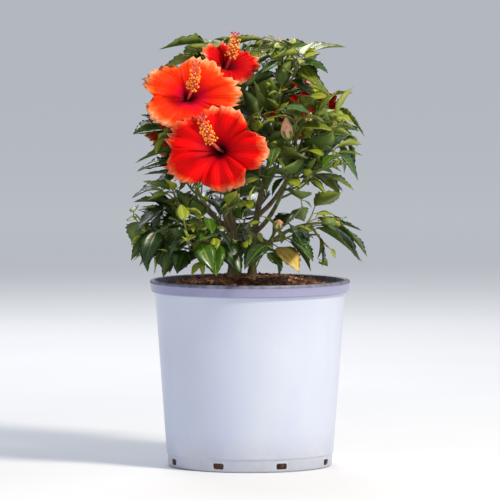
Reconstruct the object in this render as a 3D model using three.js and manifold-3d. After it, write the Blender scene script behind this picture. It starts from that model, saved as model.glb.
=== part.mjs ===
// A hibiscus shrub in a white nursery pot: three leaning stems, ten boughs, and thirteen leafy masses with
// five open red flowers. Millimetres, +Z up. The pot's underside lies on Z = 0 with its centre at the origin,
// and the front is -Y. Each mass grows by one seeded rule: a shoot, its side twigs, and leaves set round them
// by the golden angle.

import * as THREE from "three";
import { mergeVertices } from "three/addons/utils/BufferGeometryUtils.js";
import Module from "manifold-3d";

const wasm = await Module();
wasm.setup();

// Air between two pieces that rest on each other
const GAP = 0.3;

// Pot
const POT_HEIGHT = 248;
const RIM_RADIUS = 133;
const RIM_WIDTH = 8;
const RIM_ROUNDING = 2;
const RIM_INNER_DROP = 5;
const LIP_HEIGHT = 16;
const LIP_UNDERCUT = 1.5;
const WALL_TOP_RADIUS = 126.5;
const WALL_FOOT_RADIUS = 111;
const WALL_THICKNESS = 2.6;
const FLOOR_THICKNESS = 3;
const FOOT_HEIGHT = 18;
const FOOT_RECESS = 1.8;
const FOOT_ROUNDING = 3;
const DRAIN_SLOTS = 8;
const DRAIN_WIDTH = 15;
const DRAIN_HEIGHT = 8;
const DRAIN_DEPTH = 12;
const POT_SIDES = 40;

// Potting bark, heaped a little above the rim, with a flat round top that the stems stand on
const SOIL_TOP = 252;
const SOIL_SHOULDER = 246;
const SOIL_EDGE = 238;
const SOIL_FLAT_RADIUS = 48;
const SOIL_SHOULDER_RADIUS = 92;

// Stems: where the clump stands, and how far each stem leans out of it
const CLUMP_X = -14;
const CLUMP_Y = -2;
const STEM_AZIMUTHS = [234, 354, 114];
const STEM_FOOT_SPREAD = 17;
const STEM_TOP_SPREAD = 36;
const STEM_TOP_HEIGHT = 392;
const STEM_FOOT_RADIUS = 5.4;
const STEM_TOP_RADIUS = 3.1;
const ROOT_FLARE = 0.45;
const ROOT_FLARE_SHARE = 0.1;
const STEM_SIDES = 8;
const STEM_STEPS = 14;

// Boughs: each leaves its stem at a share of the stem's length and heads for one side of the crown. Its bend
// is given as shares of its reach and rise.
const BOUGH_FOOT_RADIUS = 3.3;
const BOUGH_TIP_RADIUS = 2.7;
const BOUGH_BEND_REACH = 0.55;
const BOUGH_BEND_RISE = 0.3;
const BOUGH_SIDES = 6;
const BOUGH_STEPS = 6;
const TIERS = {
  low: { boughReach: 38, boughRise: 17, tipReach: 104, tipHeight: 322 },
  under: { boughReach: 34, boughRise: 22, tipReach: 86, tipHeight: 358 },
  middle: { boughReach: 40, boughRise: 38, tipReach: 112, tipHeight: 452 },
  top: { boughReach: 0, boughRise: 0, tipReach: 46, tipHeight: 545 },
};
const BOUGHS = [
  { stem: 0, share: 0.13, azimuth: 240, tier: "low" },
  { stem: 0, share: 0.27, azimuth: 188, tier: "low" },
  { stem: 0, share: 0.44, azimuth: 258, tier: "under" },
  { stem: 1, share: 0.14, azimuth: 294, tier: "low" },
  { stem: 1, share: 0.27, azimuth: 10, tier: "low" },
  { stem: 1, share: 0.42, azimuth: 316, tier: "middle" },
  { stem: 1, share: 0.58, azimuth: 30, tier: "middle" },
  { stem: 2, share: 0.2, azimuth: 100, tier: "low" },
  { stem: 2, share: 0.42, azimuth: 168, tier: "middle" },
  { stem: 2, share: 0.58, azimuth: 96, tier: "middle" },
];

// The crown that every leaf stays in
const CROWN_RADIUS = 168;
const CROWN_TOP = 571;
const CROWN_FLOOR = SOIL_TOP + 4;

// Shoots and side twigs
const SHOOT_RADIUS = 2.6;
const SHOOT_TIP_RADIUS = 1.8;
const SHOOT_BEND = 0.45;
const SHOOT_SIDES = 5;
const SHOOT_STEPS = 5;
const TWIG_RADIUS = 2;
const TWIG_TIP_RADIUS = 1.5;
const TWIG_SIDES = 3;
const TWIG_STEPS = 2;
const TWIG_LENGTH = 66;
const TWIG_SIZES = { low: 0.75, high: 1.25 };
const TWIG_RISES = { low: 0.15, high: 0.65 };
const TWIG_OUTWARD = 0.8;
const TWIG_FORWARD = 0.45;
const TWIG_SPACING = 1.25;
const INTERNODE = 13.5;
const GOLDEN_ANGLE = Math.PI * (3 - Math.sqrt(5));
const SEED_STEP = 1009;

// Leaves: an oval blade with a pointed tip, folded a little along its midrib. Sizes and lifts are in leaf
// lengths, the pitch is in degrees from a twig's side towards its tip, and the roll is in radians.
const LEAF_LENGTH = 74;
const LEAF_HALF_WIDTH = 0.29;
const LEAF_FOLD = 0.3;
const LEAF_THICKNESS = 0.022;
const LEAF_STALK = 0.24;
const LEAF_STALK_RADIUS = 0.7;
const LEAF_STALK_SWELL = 1.2;
const LEAF_WIDE_SHARE = 0.27;
const LEAF_MIDDLE_SHARE = 0.45;
const LEAF_NARROW_SHARE = 0.66;
const LEAF_SIZES = { low: 0.82, high: 1.18 };
const LEAF_PITCHES = { low: 18, high: 52 };
const LEAF_LIFTS = { low: -0.15, high: 0.35 };
const LEAF_SAGS = { low: 0.2, high: 1.7 };
const LEAF_DROOPS = { low: 0.06, high: 0.24 };
const LEAF_ROLLS = { low: -0.65, high: 0.65 };
const STIFFER_AT_TIP = 0.45;
const TUFT_SIZE = 0.72;
const LAST_LEAF_SIZE = 0.6;
const TRIES = [
  { size: 1, turn: 0, lift: 0 },
  { size: 1, turn: 0.8, lift: 0.1 },
  { size: 0.85, turn: -0.8, lift: 0.2 },
  { size: 0.8, turn: 0, lift: 0.5 },
  { size: 0.7, turn: 1.6, lift: 0 },
  { size: 0.6, turn: -1.6, lift: 0.3 },
  { size: 0.52, turn: 2.4, lift: 0.6 },
];
const LEAF_CLEARANCE = 5;
const TWIG_CLEARANCE = 4;
const SPACE_MARGIN = 1.5;
const LIMB_CLEARANCE = 4;

// Flowers: each has its shoot, the share of the shoot where its stalk leaves, the centre of its open face,
// the way the face looks, and its width. A face is lower than it is wide.
const FLOWERS = [
  { shoot: "shoot_top_1", share: 1, x: -76, y: -72, z: 497, azimuth: 280, elevation: 13, width: 138 },
  { shoot: "shoot_top_1", share: 0.12, x: -50, y: -122, z: 428, azimuth: 250, elevation: 9, width: 152 },
  { shoot: "shoot_top_3", share: 0.7, x: -24, y: -14, z: 540, azimuth: 300, elevation: 36, width: 92 },
  { shoot: "shoot_middle_2", share: 1, x: 78, y: 98, z: 472, azimuth: 64, elevation: 24, width: 126 },
  { shoot: "shoot_middle_3", share: 1, x: -98, y: 82, z: 452, azimuth: 128, elevation: 22, width: 122 },
];
const FLOWER_DEPTH = 0.34;
const FLOWER_HEIGHT = 0.76;
const FLOWER_CLEARANCE = 5;
const FACE_CLEARANCE = 32;
const THROAT_REACH = 0.12;
const STALK_RADIUS = 1.7;
const STALK_BEND = 0.4;
const CALYX_RADIUS = 7.5;
const CALYX_FOOT = 3;
const CALYX_LENGTH = 10.5;

// Petals, in shares of the flower's radius or depth
const PETALS = 5;
const PETAL_SPREAD = 0.72;
const PETAL_NARROWING = 0.25;
const PETAL_FOOT_REACH = 0.06;
const PETAL_FLARE = 1.5;
const PETAL_ROUNDING = 0.1;
const FUNNEL_CURVE = 1.8;
const PETAL_REFLEX = 0.12;
const PETAL_TWIST = 2.5;
const PETAL_THICKNESS = 2;
const PETAL_MIDDLE_SHARE = 0.6;
const PETAL_EDGE = [
  { share: 0.04, side: -0.6 },
  { share: 0.04, side: 0.6 },
  { share: 0.45, side: 0.8 },
  { share: 0.86, side: 0.9 },
  { share: 1, side: 0.35 },
  { share: 0.96, side: -0.35 },
  { share: 0.86, side: -0.9 },
  { share: 0.45, side: -0.8 },
];

// The column in a flower's middle, which bends upward, and the brush of stamens round its outer half
const COLUMN_LENGTH = 0.62;
const COLUMN_FORWARD = 0.97;
const COLUMN_BEND = 0.6;
const COLUMN_RISE = 0.34;
const COLUMN_RADIUS = 1.7;
const BRUSH_SHARE = 0.76;
const BRUSH_RADIUS = 6;
const BRUSH_LENGTH = 34;

// Buds
const BUD_LENGTH = 26;
const BUD_RADIUS = 7;
const BUD_SEAT = 0.42;

// Points closer than this are merged when a mass is finished
const MERGE_DISTANCE = 0.02;

// Repeatable numbers from 0 to 1
function seededRandom(seed) {
  let state = seed;
  return () => {
    state = (state * 16807) % 2147483647;
    return state / 2147483647;
  };
}

function drawn(range, random) {
  return range.low + (range.high - range.low) * random();
}

// A unit vector from an azimuth, counted from +X towards +Y, and a height above the horizon
function directionOf(azimuthDegrees, elevationDegrees) {
  const azimuth = THREE.MathUtils.degToRad(azimuthDegrees);
  const elevation = THREE.MathUtils.degToRad(elevationDegrees);
  const level = Math.cos(elevation);
  return new THREE.Vector3(level * Math.cos(azimuth), level * Math.sin(azimuth), Math.sin(elevation));
}

function blend(start, startWeight, end, endWeight) {
  return start.clone().multiplyScalar(startWeight).addScaledVector(end, endWeight);
}

// Two unit vectors across a direction, steady for steep and for level directions
function acrossOf(direction) {
  const reference = Math.abs(direction.z) > 0.8 ? new THREE.Vector3(1, 0, 0) : new THREE.Vector3(0, 0, 1);
  const side = new THREE.Vector3().crossVectors(direction, reference).normalize();
  const other = new THREE.Vector3().crossVectors(side, direction).normalize();
  return [side, other];
}

function solidOf(geometry) {
  const bare = geometry.index ? geometry.clone() : mergeVertices(geometry);
  bare.deleteAttribute("normal");
  bare.deleteAttribute("uv");
  const welded = mergeVertices(bare, 1e-4);
  return new wasm.Manifold(
    new wasm.Mesh({
      numProp: 3,
      vertProperties: welded.attributes.position.array,
      triVerts: Uint32Array.from(welded.index.array),
    }),
  );
}

function geometryOf(solid) {
  const mesh = solid.getMesh();
  const geometry = new THREE.BufferGeometry();
  geometry.setAttribute("position", new THREE.BufferAttribute(mesh.vertProperties, 3));
  geometry.setIndex(new THREE.BufferAttribute(mesh.triVerts, 1));
  geometry.computeVertexNormals();
  return geometry;
}

// The largest closed body of a solid, without loose scraps and with sealed hollows filled
function largestBody(solid) {
  const bodies = solid.decompose();
  return bodies.reduce((best, body) => (body.volume() > best.volume() ? body : best));
}

// A straight cylinder bent along a curve, with a radius at each share of its length
function tubeAlong(curve, radiusAt, sides, steps) {
  const tube = new THREE.CylinderGeometry(1, 1, 1, sides, steps);
  const [side, other] = acrossOf(curve.getPoint(1).sub(curve.getPoint(0)).normalize());
  const position = tube.attributes.position;
  for (let i = 0; i < position.count; i += 1) {
    const share = position.getY(i) + 0.5;
    const tangent = curve.getTangent(share);
    const levelSide = side.clone().addScaledVector(tangent, -side.dot(tangent)).normalize();
    const levelOther = new THREE.Vector3().crossVectors(levelSide, tangent).normalize();
    const radius = radiusAt(share);
    const point = curve.getPoint(share);
    point.addScaledVector(levelSide, position.getX(i) * radius);
    point.addScaledVector(levelOther, position.getZ(i) * radius);
    position.setXYZ(i, point.x, point.y, point.z);
  }
  return tube;
}

// A ball stretched to a length along a direction
function stretchedBall(centre, direction, radius, length, sides, rings) {
  const ball = new THREE.SphereGeometry(1, sides, rings);
  ball.scale(radius, length / 2, radius);
  ball.applyQuaternion(new THREE.Quaternion().setFromUnitVectors(new THREE.Vector3(0, 1, 0), direction));
  ball.translate(centre.x, centre.y, centre.z);
  return solidOf(ball);
}

function taper(startRadius, endRadius) {
  return (share) => startRadius + (endRadius - startRadius) * share;
}

// Pot: white wall, wider lip at the rim, recessed foot with a drain slot at each eighth turn
function potWallRadius(height) {
  const share = (height - FOOT_HEIGHT) / (POT_HEIGHT - LIP_HEIGHT - FOOT_HEIGHT);
  return WALL_FOOT_RADIUS + (WALL_TOP_RADIUS - WALL_FOOT_RADIUS) * share;
}

function potInnerRadius(height) {
  return potWallRadius(height) - WALL_THICKNESS;
}

function latheSolid(profile) {
  const points = profile.map(([radius, height]) => new THREE.Vector2(radius, height));
  const lathe = new THREE.LatheGeometry(points, POT_SIDES);
  lathe.rotateX(Math.PI / 2);
  return solidOf(lathe);
}

function potSolid() {
  const footRadius = WALL_FOOT_RADIUS - FOOT_RECESS;
  const lipBottom = POT_HEIGHT - LIP_HEIGHT;
  const innerTop = POT_HEIGHT - RIM_INNER_DROP;
  const shell = latheSolid([
    [0, 0],
    [footRadius - FOOT_ROUNDING, 0],
    [footRadius, FOOT_ROUNDING],
    [footRadius, FOOT_HEIGHT - FOOT_RECESS],
    [WALL_FOOT_RADIUS, FOOT_HEIGHT],
    [WALL_TOP_RADIUS, lipBottom],
    [RIM_RADIUS - LIP_UNDERCUT, lipBottom + LIP_UNDERCUT / 2],
    [RIM_RADIUS, lipBottom + LIP_UNDERCUT * 2],
    [RIM_RADIUS, POT_HEIGHT - RIM_ROUNDING],
    [RIM_RADIUS - RIM_ROUNDING, POT_HEIGHT],
    [RIM_RADIUS - RIM_WIDTH + RIM_ROUNDING / 2, POT_HEIGHT],
    [potInnerRadius(innerTop), innerTop],
    [potInnerRadius(FLOOR_THICKNESS), FLOOR_THICKNESS],
    [0, FLOOR_THICKNESS],
  ]);
  const slots = [];
  for (let k = 0; k < DRAIN_SLOTS; k += 1) {
    const slot = new THREE.BoxGeometry(DRAIN_DEPTH, DRAIN_WIDTH, DRAIN_HEIGHT);
    slot.translate(footRadius, 0, FLOOR_THICKNESS + 1 + DRAIN_HEIGHT / 2);
    slot.rotateZ(((k + 0.5) * 2 * Math.PI) / DRAIN_SLOTS);
    slots.push(solidOf(slot));
  }
  return shell.subtract(wasm.Manifold.union(slots));
}

// Potting bark: fills the pot, a gap clear of it all round
function soilSolid() {
  const floor = FLOOR_THICKNESS + GAP;
  return latheSolid([
    [0, floor],
    [potInnerRadius(floor) - GAP, floor],
    [potInnerRadius(SOIL_EDGE) - GAP, SOIL_EDGE],
    [SOIL_SHOULDER_RADIUS, SOIL_SHOULDER],
    [SOIL_FLAT_RADIUS, SOIL_TOP],
    [0, SOIL_TOP],
  ]);
}

// Stems: each rises straight from a flat cut on the bark, then leans outward
function stemCurve(azimuth) {
  const outward = directionOf(azimuth, 0);
  const foot = new THREE.Vector3(CLUMP_X, CLUMP_Y, SOIL_TOP + GAP).addScaledVector(outward, STEM_FOOT_SPREAD);
  const top = new THREE.Vector3(CLUMP_X, CLUMP_Y, STEM_TOP_HEIGHT).addScaledVector(outward, STEM_TOP_SPREAD);
  const middle = foot.clone().setZ((foot.z + top.z) / 2);
  return new THREE.QuadraticBezierCurve3(foot, middle, top);
}

function stemRadius(share) {
  const flare = 1 + ROOT_FLARE * Math.max(0, 1 - share / ROOT_FLARE_SHARE) ** 2;
  return taper(STEM_FOOT_RADIUS, STEM_TOP_RADIUS)(share) * flare;
}

// Boughs: each starts in its stem's middle, and the stem with its gap is cut out of it
function boughCurve(stem, bough) {
  const tier = TIERS[bough.tier];
  const outward = directionOf(bough.azimuth, 0);
  const foot = stem.getPoint(bough.share);
  const tip = foot.clone().addScaledVector(outward, tier.boughReach);
  tip.z += tier.boughRise;
  const bend = foot.clone().addScaledVector(outward, tier.boughReach * BOUGH_BEND_REACH);
  bend.z += tier.boughRise * BOUGH_BEND_RISE;
  return new THREE.QuadraticBezierCurve3(foot, bend, tip);
}

function boughSolid(curve, stem) {
  const clearStem = solidOf(tubeAlong(stem, (share) => stemRadius(share) + GAP, STEM_SIDES, STEM_STEPS));
  const radiusAt = taper(BOUGH_FOOT_RADIUS, BOUGH_TIP_RADIUS);
  const whole = solidOf(tubeAlong(curve, radiusAt, BOUGH_SIDES, BOUGH_STEPS));
  return largestBody(whole.subtract(clearStem));
}

// A flower's own frame: its centre, the way it faces, and the foot of its funnel
function flowerFrame(flower) {
  const facing = directionOf(flower.azimuth, flower.elevation);
  const centre = new THREE.Vector3(flower.x, flower.y, flower.z);
  const radius = flower.width / 2;
  const depth = flower.width * FLOWER_DEPTH;
  const foot = centre.clone().addScaledVector(facing, -depth);
  const right = new THREE.Vector3().crossVectors(new THREE.Vector3(0, 0, 1), facing).normalize();
  const up = new THREE.Vector3().crossVectors(facing, right);
  return { shoot: flower.shoot, share: flower.share, centre, facing, radius, depth, foot, right, up };
}

// Each shoot carries straight on from its limb's tip to its tier's reach and height, or to its flower
function shootCurve(limb, azimuth, tierName, name, flowers) {
  const tier = TIERS[tierName];
  const tangent = limb.getTangent(1);
  const start = limb.getPoint(1).addScaledVector(tangent, GAP);
  const tip = new THREE.Vector3(CLUMP_X / 2, CLUMP_Y / 2, tier.tipHeight);
  tip.addScaledVector(directionOf(azimuth, 0), tier.tipReach);
  const last = flowers.find((flower) => flower.shoot === name && flower.share === 1);
  if (last) {
    tip.copy(last.foot).addScaledVector(last.facing, -CALYX_RADIUS);
  }
  const bend = start.clone().addScaledVector(tangent, start.distanceTo(tip) * SHOOT_BEND);
  return new THREE.QuadraticBezierCurve3(start, bend, tip);
}

function polyline(curve, steps) {
  return Array.from({ length: steps + 1 }, (_, k) => curve.getPoint(k / steps));
}

function distanceToLine(point, line) {
  let best = Infinity;
  for (let k = 0; k + 1 < line.length; k += 1) {
    const start = line[k];
    const alongX = line[k + 1].x - start.x;
    const alongY = line[k + 1].y - start.y;
    const alongZ = line[k + 1].z - start.z;
    const offsetX = point.x - start.x;
    const offsetY = point.y - start.y;
    const offsetZ = point.z - start.z;
    const reach = alongX * alongX + alongY * alongY + alongZ * alongZ;
    const dot = alongX * offsetX + alongY * offsetY + alongZ * offsetZ;
    const share = Math.min(1, Math.max(0, dot / reach));
    const missX = offsetX - share * alongX;
    const missY = offsetY - share * alongY;
    const missZ = offsetZ - share * alongZ;
    best = Math.min(best, Math.hypot(missX, missY, missZ));
  }
  return best;
}

// The room that a flower keeps for itself: its funnel, its open face, and some air before the face
function inFlowerRoom(flower, point, clearance) {
  const offset = point.clone().sub(flower.centre);
  const height = offset.dot(flower.facing);
  if (height < -flower.depth || height > FACE_CLEARANCE) {
    return false;
  }
  const rise = Math.min(1, 1 + height / flower.depth);
  const reach = flower.radius * (THROAT_REACH + (1 - THROAT_REACH) * rise * rise) + clearance;
  return Math.hypot(offset.dot(flower.right), offset.dot(flower.up) / FLOWER_HEIGHT) < reach;
}

// A mass's own space: nearer to its shoot than to any other, and out of every other mass's flowers
function inOwnSpace(mass, masses, point) {
  for (const other of masses) {
    const clearance = other === mass ? 0 : FLOWER_CLEARANCE;
    if (other.flowers.some((flower) => inFlowerRoom(flower, point, clearance))) {
      return false;
    }
  }
  const own = distanceToLine(point, mass.line);
  return masses.every((other) => other === mass || own + SPACE_MARGIN < distanceToLine(point, other.line));
}

function inCrown(point) {
  return point.z > CROWN_FLOOR && point.z < CROWN_TOP && Math.hypot(point.x, point.y) < CROWN_RADIUS;
}

function clearOfLimbs(point, limbs) {
  return limbs.every((limb) => distanceToLine(point, limb.line) > limb.radius + LIMB_CLEARANCE);
}

// Whether a point may be used: inside the crown and the mass's own space, and clear of every limb
function isFree(mass, world, point) {
  return inCrown(point) && clearOfLimbs(point, world.limbs) && inOwnSpace(mass, world.masses, point);
}

// Whether points keep clear of the blades and twigs that the mass has grown already
function clearOfGrown(mass, points, clearance) {
  const least = clearance * clearance;
  return points.every((point) => mass.grown.every((near) => near.distanceToSquared(point) > least));
}

// Half the blade's width at a share of its length: widest before the middle, drawn out to a pointed tip
function leafHalfWidth(share) {
  return LEAF_HALF_WIDTH * Math.sin(Math.PI * share ** 0.8) * (1 - share) ** 0.12;
}

// A leaf blade's surface: share 0 to 1 from base to tip, side -1 to 1 from edge to edge
function bladePoint(leaf, share, side, lift) {
  const width = side * leafHalfWidth(share);
  const height = Math.abs(width) * LEAF_FOLD - leaf.droop * share * share + lift;
  const point = leaf.base.clone();
  point.addScaledVector(leaf.along, share * leaf.length);
  point.addScaledVector(leaf.across, width * leaf.length);
  return point.addScaledVector(leaf.normal, height * leaf.length);
}

function leafSamples(leaf, shareSteps, sideSteps) {
  const samples = [];
  for (let k = 0; k <= shareSteps; k += 1) {
    for (let j = 0; j <= sideSteps; j += 1) {
      samples.push(bladePoint(leaf, k / shareSteps, (2 * j) / sideSteps - 1, 0));
    }
  }
  return samples;
}

// A leaf of 22 faces: a three-sided stalk that starts inside the twig, and a blade with five edge points
// and one point above and one below its middle
function leafSolid(leaf) {
  const stalkRing = (centre, radius) =>
    [90, 210, 330].map((degrees) => {
      const turn = THREE.MathUtils.degToRad(degrees);
      const rim = centre.clone().addScaledVector(leaf.across, Math.cos(turn) * radius);
      return rim.addScaledVector(leaf.normal, Math.sin(turn) * radius);
    });
  const points = [
    ...stalkRing(leaf.root, LEAF_STALK_RADIUS),
    ...stalkRing(leaf.base, LEAF_STALK_RADIUS * LEAF_STALK_SWELL),
    bladePoint(leaf, LEAF_WIDE_SHARE, 1, 0),
    bladePoint(leaf, LEAF_NARROW_SHARE, 1, 0),
    bladePoint(leaf, 1, 0, 0),
    bladePoint(leaf, LEAF_NARROW_SHARE, -1, 0),
    bladePoint(leaf, LEAF_WIDE_SHARE, -1, 0),
    bladePoint(leaf, LEAF_MIDDLE_SHARE, 0, LEAF_THICKNESS / 2),
    bladePoint(leaf, LEAF_MIDDLE_SHARE, 0, -LEAF_THICKNESS / 2),
  ];
  const stalkFaces = [
    [0, 2, 1], [0, 1, 4], [0, 4, 3], [1, 2, 5], [1, 5, 4], [2, 0, 3], [2, 3, 5], [5, 3, 6], [3, 4, 10],
  ];
  const topFaces = [[11, 3, 10], [11, 10, 9], [11, 9, 8], [11, 8, 7], [11, 7, 6], [11, 6, 3]];
  const underFaces = [[12, 10, 4], [12, 4, 5], [12, 5, 6], [12, 6, 7], [12, 7, 8], [12, 8, 9], [12, 9, 10]];
  const geometry = new THREE.BufferGeometry().setFromPoints(points);
  geometry.setIndex([...stalkFaces, ...topFaces, ...underFaces].flat());
  return solidOf(geometry);
}

// One leaf at a share of a twig: its numbers are drawn first, then it is tried at other turns and sizes
function tryLeaf(mass, world, curve, share, turn, size, random) {
  const length = LEAF_LENGTH * size * drawn(LEAF_SIZES, random);
  const pitch = THREE.MathUtils.degToRad(drawn(LEAF_PITCHES, random));
  const lift = drawn(LEAF_LIFTS, random);
  const sag = drawn(LEAF_SAGS, random) * (1 - STIFFER_AT_TIP * share);
  const droop = drawn(LEAF_DROOPS, random);
  const roll = drawn(LEAF_ROLLS, random);
  const root = curve.getPoint(share);
  const tangent = curve.getTangent(share);
  const [side, other] = acrossOf(tangent);
  for (const attempt of TRIES) {
    const outward = blend(side, Math.cos(turn + attempt.turn), other, Math.sin(turn + attempt.turn));
    const stalkWay = blend(outward, Math.cos(pitch), tangent, Math.sin(pitch));
    stalkWay.z += lift + attempt.lift;
    stalkWay.normalize();
    const along = stalkWay.clone().setZ(stalkWay.z - sag).normalize();
    const [level, up] = acrossOf(along);
    const normal = blend(up, Math.cos(roll) * Math.sign(up.z), level, Math.sin(roll)).normalize();
    const across = new THREE.Vector3().crossVectors(normal, along);
    const leaf = { root, along, across, normal, droop, length: length * attempt.size };
    leaf.base = root.clone().addScaledVector(stalkWay, leaf.length * LEAF_STALK);
    const spread = leafSamples(leaf, 8, 4);
    const fine = leafSamples(leaf, 16, 8);
    if (clearOfGrown(mass, spread, LEAF_CLEARANCE) && fine.every((point) => isFree(mass, world, point))) {
      mass.leaves.push(leaf);
      mass.grown.push(...spread);
      return;
    }
  }
}

// Leaves round a twig, each a golden angle on from the last, with a tuft at its tip
function leafAlong(mass, world, curve, firstShare, lastShare, random) {
  const count = Math.max(2, Math.round((curve.getLength() * (1 - firstShare)) / INTERNODE));
  let turn = random() * 2 * Math.PI;
  for (let k = 0; k <= count; k += 1) {
    const share = firstShare + (lastShare - firstShare) * (k / count);
    tryLeaf(mass, world, curve, share, turn, k === count ? TUFT_SIZE : 1, random);
    turn += GOLDEN_ANGLE;
  }
  tryLeaf(mass, world, curve, lastShare, turn, LAST_LEAF_SIZE, random);
}

// One side twig of a shoot, tried like a leaf and then leafed from a seed of its own. Its first fifth, which
// leaves the shoot, isn't tested.
function tryTwig(mass, world, share, turn, random) {
  const length = TWIG_LENGTH * drawn(TWIG_SIZES, random);
  const rise = drawn(TWIG_RISES, random);
  const seed = Math.floor(random() * 1e6) + 1;
  const root = mass.curve.getPoint(share);
  const tangent = mass.curve.getTangent(share);
  const [side, other] = acrossOf(tangent);
  for (const attempt of TRIES) {
    const outward = blend(side, Math.cos(turn + attempt.turn), other, Math.sin(turn + attempt.turn));
    const heading = blend(outward, TWIG_OUTWARD, tangent, TWIG_FORWARD);
    const reach = length * attempt.size;
    const bend = root.clone().addScaledVector(heading, reach * 0.5);
    const tip = root.clone().addScaledVector(heading, reach * 0.9);
    tip.z += rise * reach * 0.6;
    const curve = new THREE.QuadraticBezierCurve3(root, bend, tip);
    const path = polyline(curve, 10).slice(2);
    if (clearOfGrown(mass, path, TWIG_CLEARANCE) && path.every((point) => isFree(mass, world, point))) {
      mass.twigs.push(curve);
      mass.grown.push(...path);
      leafAlong(mass, world, curve, 0.3, 0.97, seededRandom(seed));
      return;
    }
  }
}

function growMass(mass, world, seed) {
  const random = seededRandom(seed);
  const count = Math.round(mass.curve.getLength() / (INTERNODE * TWIG_SPACING));
  let turn = random() * 2 * Math.PI;
  for (let k = 0; k < count; k += 1) {
    tryTwig(mass, world, (k + 0.7) / (count + 0.6), turn, random);
    turn += GOLDEN_ANGLE;
  }
  leafAlong(mass, world, mass.curve, 0.12, 0.9, random);
}

// A petal's surface: share 0 to 1 from the funnel's foot to the outer edge, side -1 to 1
function petalPoint(flower, petal, share, side, lift) {
  const turn = ((petal + side * PETAL_SPREAD * (1 - PETAL_NARROWING * share)) * 2 * Math.PI) / PETALS;
  const opening = share ** PETAL_FLARE * (1 - PETAL_ROUNDING * side * side);
  const radius = flower.radius * (PETAL_FOOT_REACH + (1 - PETAL_FOOT_REACH) * opening);
  const rise = flower.depth * (1 - (1 - share) ** FUNNEL_CURVE - PETAL_REFLEX * share ** 4);
  const point = flower.foot.clone();
  point.addScaledVector(flower.right, Math.cos(turn) * radius);
  point.addScaledVector(flower.up, Math.sin(turn) * radius * FLOWER_HEIGHT);
  return point.addScaledVector(flower.facing, rise + lift + side * PETAL_TWIST * share);
}

function petalSolid(flower, petal) {
  const last = PETAL_EDGE.length;
  const half = PETAL_THICKNESS / 2;
  const points = PETAL_EDGE.map(({ share, side }) => petalPoint(flower, petal, share, side, 0));
  points.push(petalPoint(flower, petal, PETAL_MIDDLE_SHARE, 0, half));
  points.push(petalPoint(flower, petal, PETAL_MIDDLE_SHARE, 0, -half));
  const faces = [];
  for (let k = 0; k < last; k += 1) {
    const next = (k + 1) % last;
    faces.push(k, last, next, k, next, last + 1);
  }
  const geometry = new THREE.BufferGeometry().setFromPoints(points);
  geometry.setIndex(faces);
  return solidOf(geometry);
}

// The column leaves the foot of the funnel straight and bends upward
function columnCurve(flower) {
  const length = flower.radius * 2 * COLUMN_LENGTH;
  const bend = flower.foot.clone().addScaledVector(flower.facing, length * COLUMN_BEND);
  const end = flower.foot.clone().addScaledVector(flower.facing, length * COLUMN_FORWARD);
  end.addScaledVector(flower.up, length * COLUMN_RISE);
  return new THREE.QuadraticBezierCurve3(flower.foot, bend, end);
}

function flowerSolids(flower, mass) {
  const solids = [];
  for (let petal = 0; petal < PETALS; petal += 1) {
    solids.push(petalSolid(flower, petal));
  }
  const root = mass.curve.getPoint(flower.share);
  const bend = flower.foot.clone().addScaledVector(flower.facing, -root.distanceTo(flower.foot) * STALK_BEND);
  const stalk = new THREE.QuadraticBezierCurve3(root, bend, flower.foot);
  solids.push(solidOf(tubeAlong(stalk, taper(STALK_RADIUS, STALK_RADIUS), 4, 3)));
  const below = flower.foot.clone().addScaledVector(flower.facing, -CALYX_FOOT);
  const inside = flower.foot.clone().addScaledVector(flower.facing, CALYX_LENGTH);
  const calyx = new THREE.LineCurve3(below, inside);
  solids.push(solidOf(tubeAlong(calyx, taper(STALK_RADIUS * 1.35, CALYX_RADIUS), 5, 1)));
  const column = columnCurve(flower);
  solids.push(solidOf(tubeAlong(column, taper(COLUMN_RADIUS, COLUMN_RADIUS), 4, 3)));
  const middle = column.getPoint(BRUSH_SHARE);
  solids.push(stretchedBall(middle, column.getTangent(BRUSH_SHARE), BRUSH_RADIUS, BRUSH_LENGTH, 5, 4));
  return solids;
}

// A bud standing on the tip of a shoot that has no flower
function budSolid(mass) {
  const facing = mass.curve.getTangent(1);
  const centre = mass.curve.getPoint(1).addScaledVector(facing, BUD_LENGTH * BUD_SEAT);
  return stretchedBall(centre, facing, BUD_RADIUS, BUD_LENGTH, 5, 4);
}

function massSolid(mass) {
  const shoot = tubeAlong(mass.curve, taper(SHOOT_RADIUS, SHOOT_TIP_RADIUS), SHOOT_SIDES, SHOOT_STEPS);
  const solids = [solidOf(shoot)];
  for (const twig of mass.twigs) {
    solids.push(solidOf(tubeAlong(twig, taper(TWIG_RADIUS, TWIG_TIP_RADIUS), TWIG_SIDES, TWIG_STEPS)));
  }
  for (const leaf of mass.leaves) {
    solids.push(leafSolid(leaf));
  }
  for (const flower of mass.flowers) {
    solids.push(...flowerSolids(flower, mass));
  }
  if (mass.flowers.every((flower) => flower.share < 1)) {
    solids.push(budSolid(mass));
  }
  return largestBody(wasm.Manifold.union(solids).simplify(MERGE_DISTANCE));
}

const FINISHES = {
  pot: { color: 0xdfe3ef, roughness: 0.45, metalness: 0 },
  soil: { color: 0x5b3b2c, roughness: 0.95, metalness: 0 },
  bark: { color: 0x6b5a3a, roughness: 0.85, metalness: 0 },
  foliage: { color: 0x2f5a1b, roughness: 0.45, metalness: 0 },
};

const group = new THREE.Group();

function addPiece(name, solid, finish) {
  const mesh = new THREE.Mesh(geometryOf(solid), new THREE.MeshStandardMaterial(FINISHES[finish]));
  mesh.name = name;
  group.add(mesh);
}

// Limbs first, because every leaf keeps clear of them
const stems = STEM_AZIMUTHS.map((azimuth) => stemCurve(azimuth));
const flowers = FLOWERS.map((flower) => flowerFrame(flower));
const world = { limbs: [], masses: [] };
const tierCounts = { low: 0, under: 0, middle: 0, top: 0 };

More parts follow.
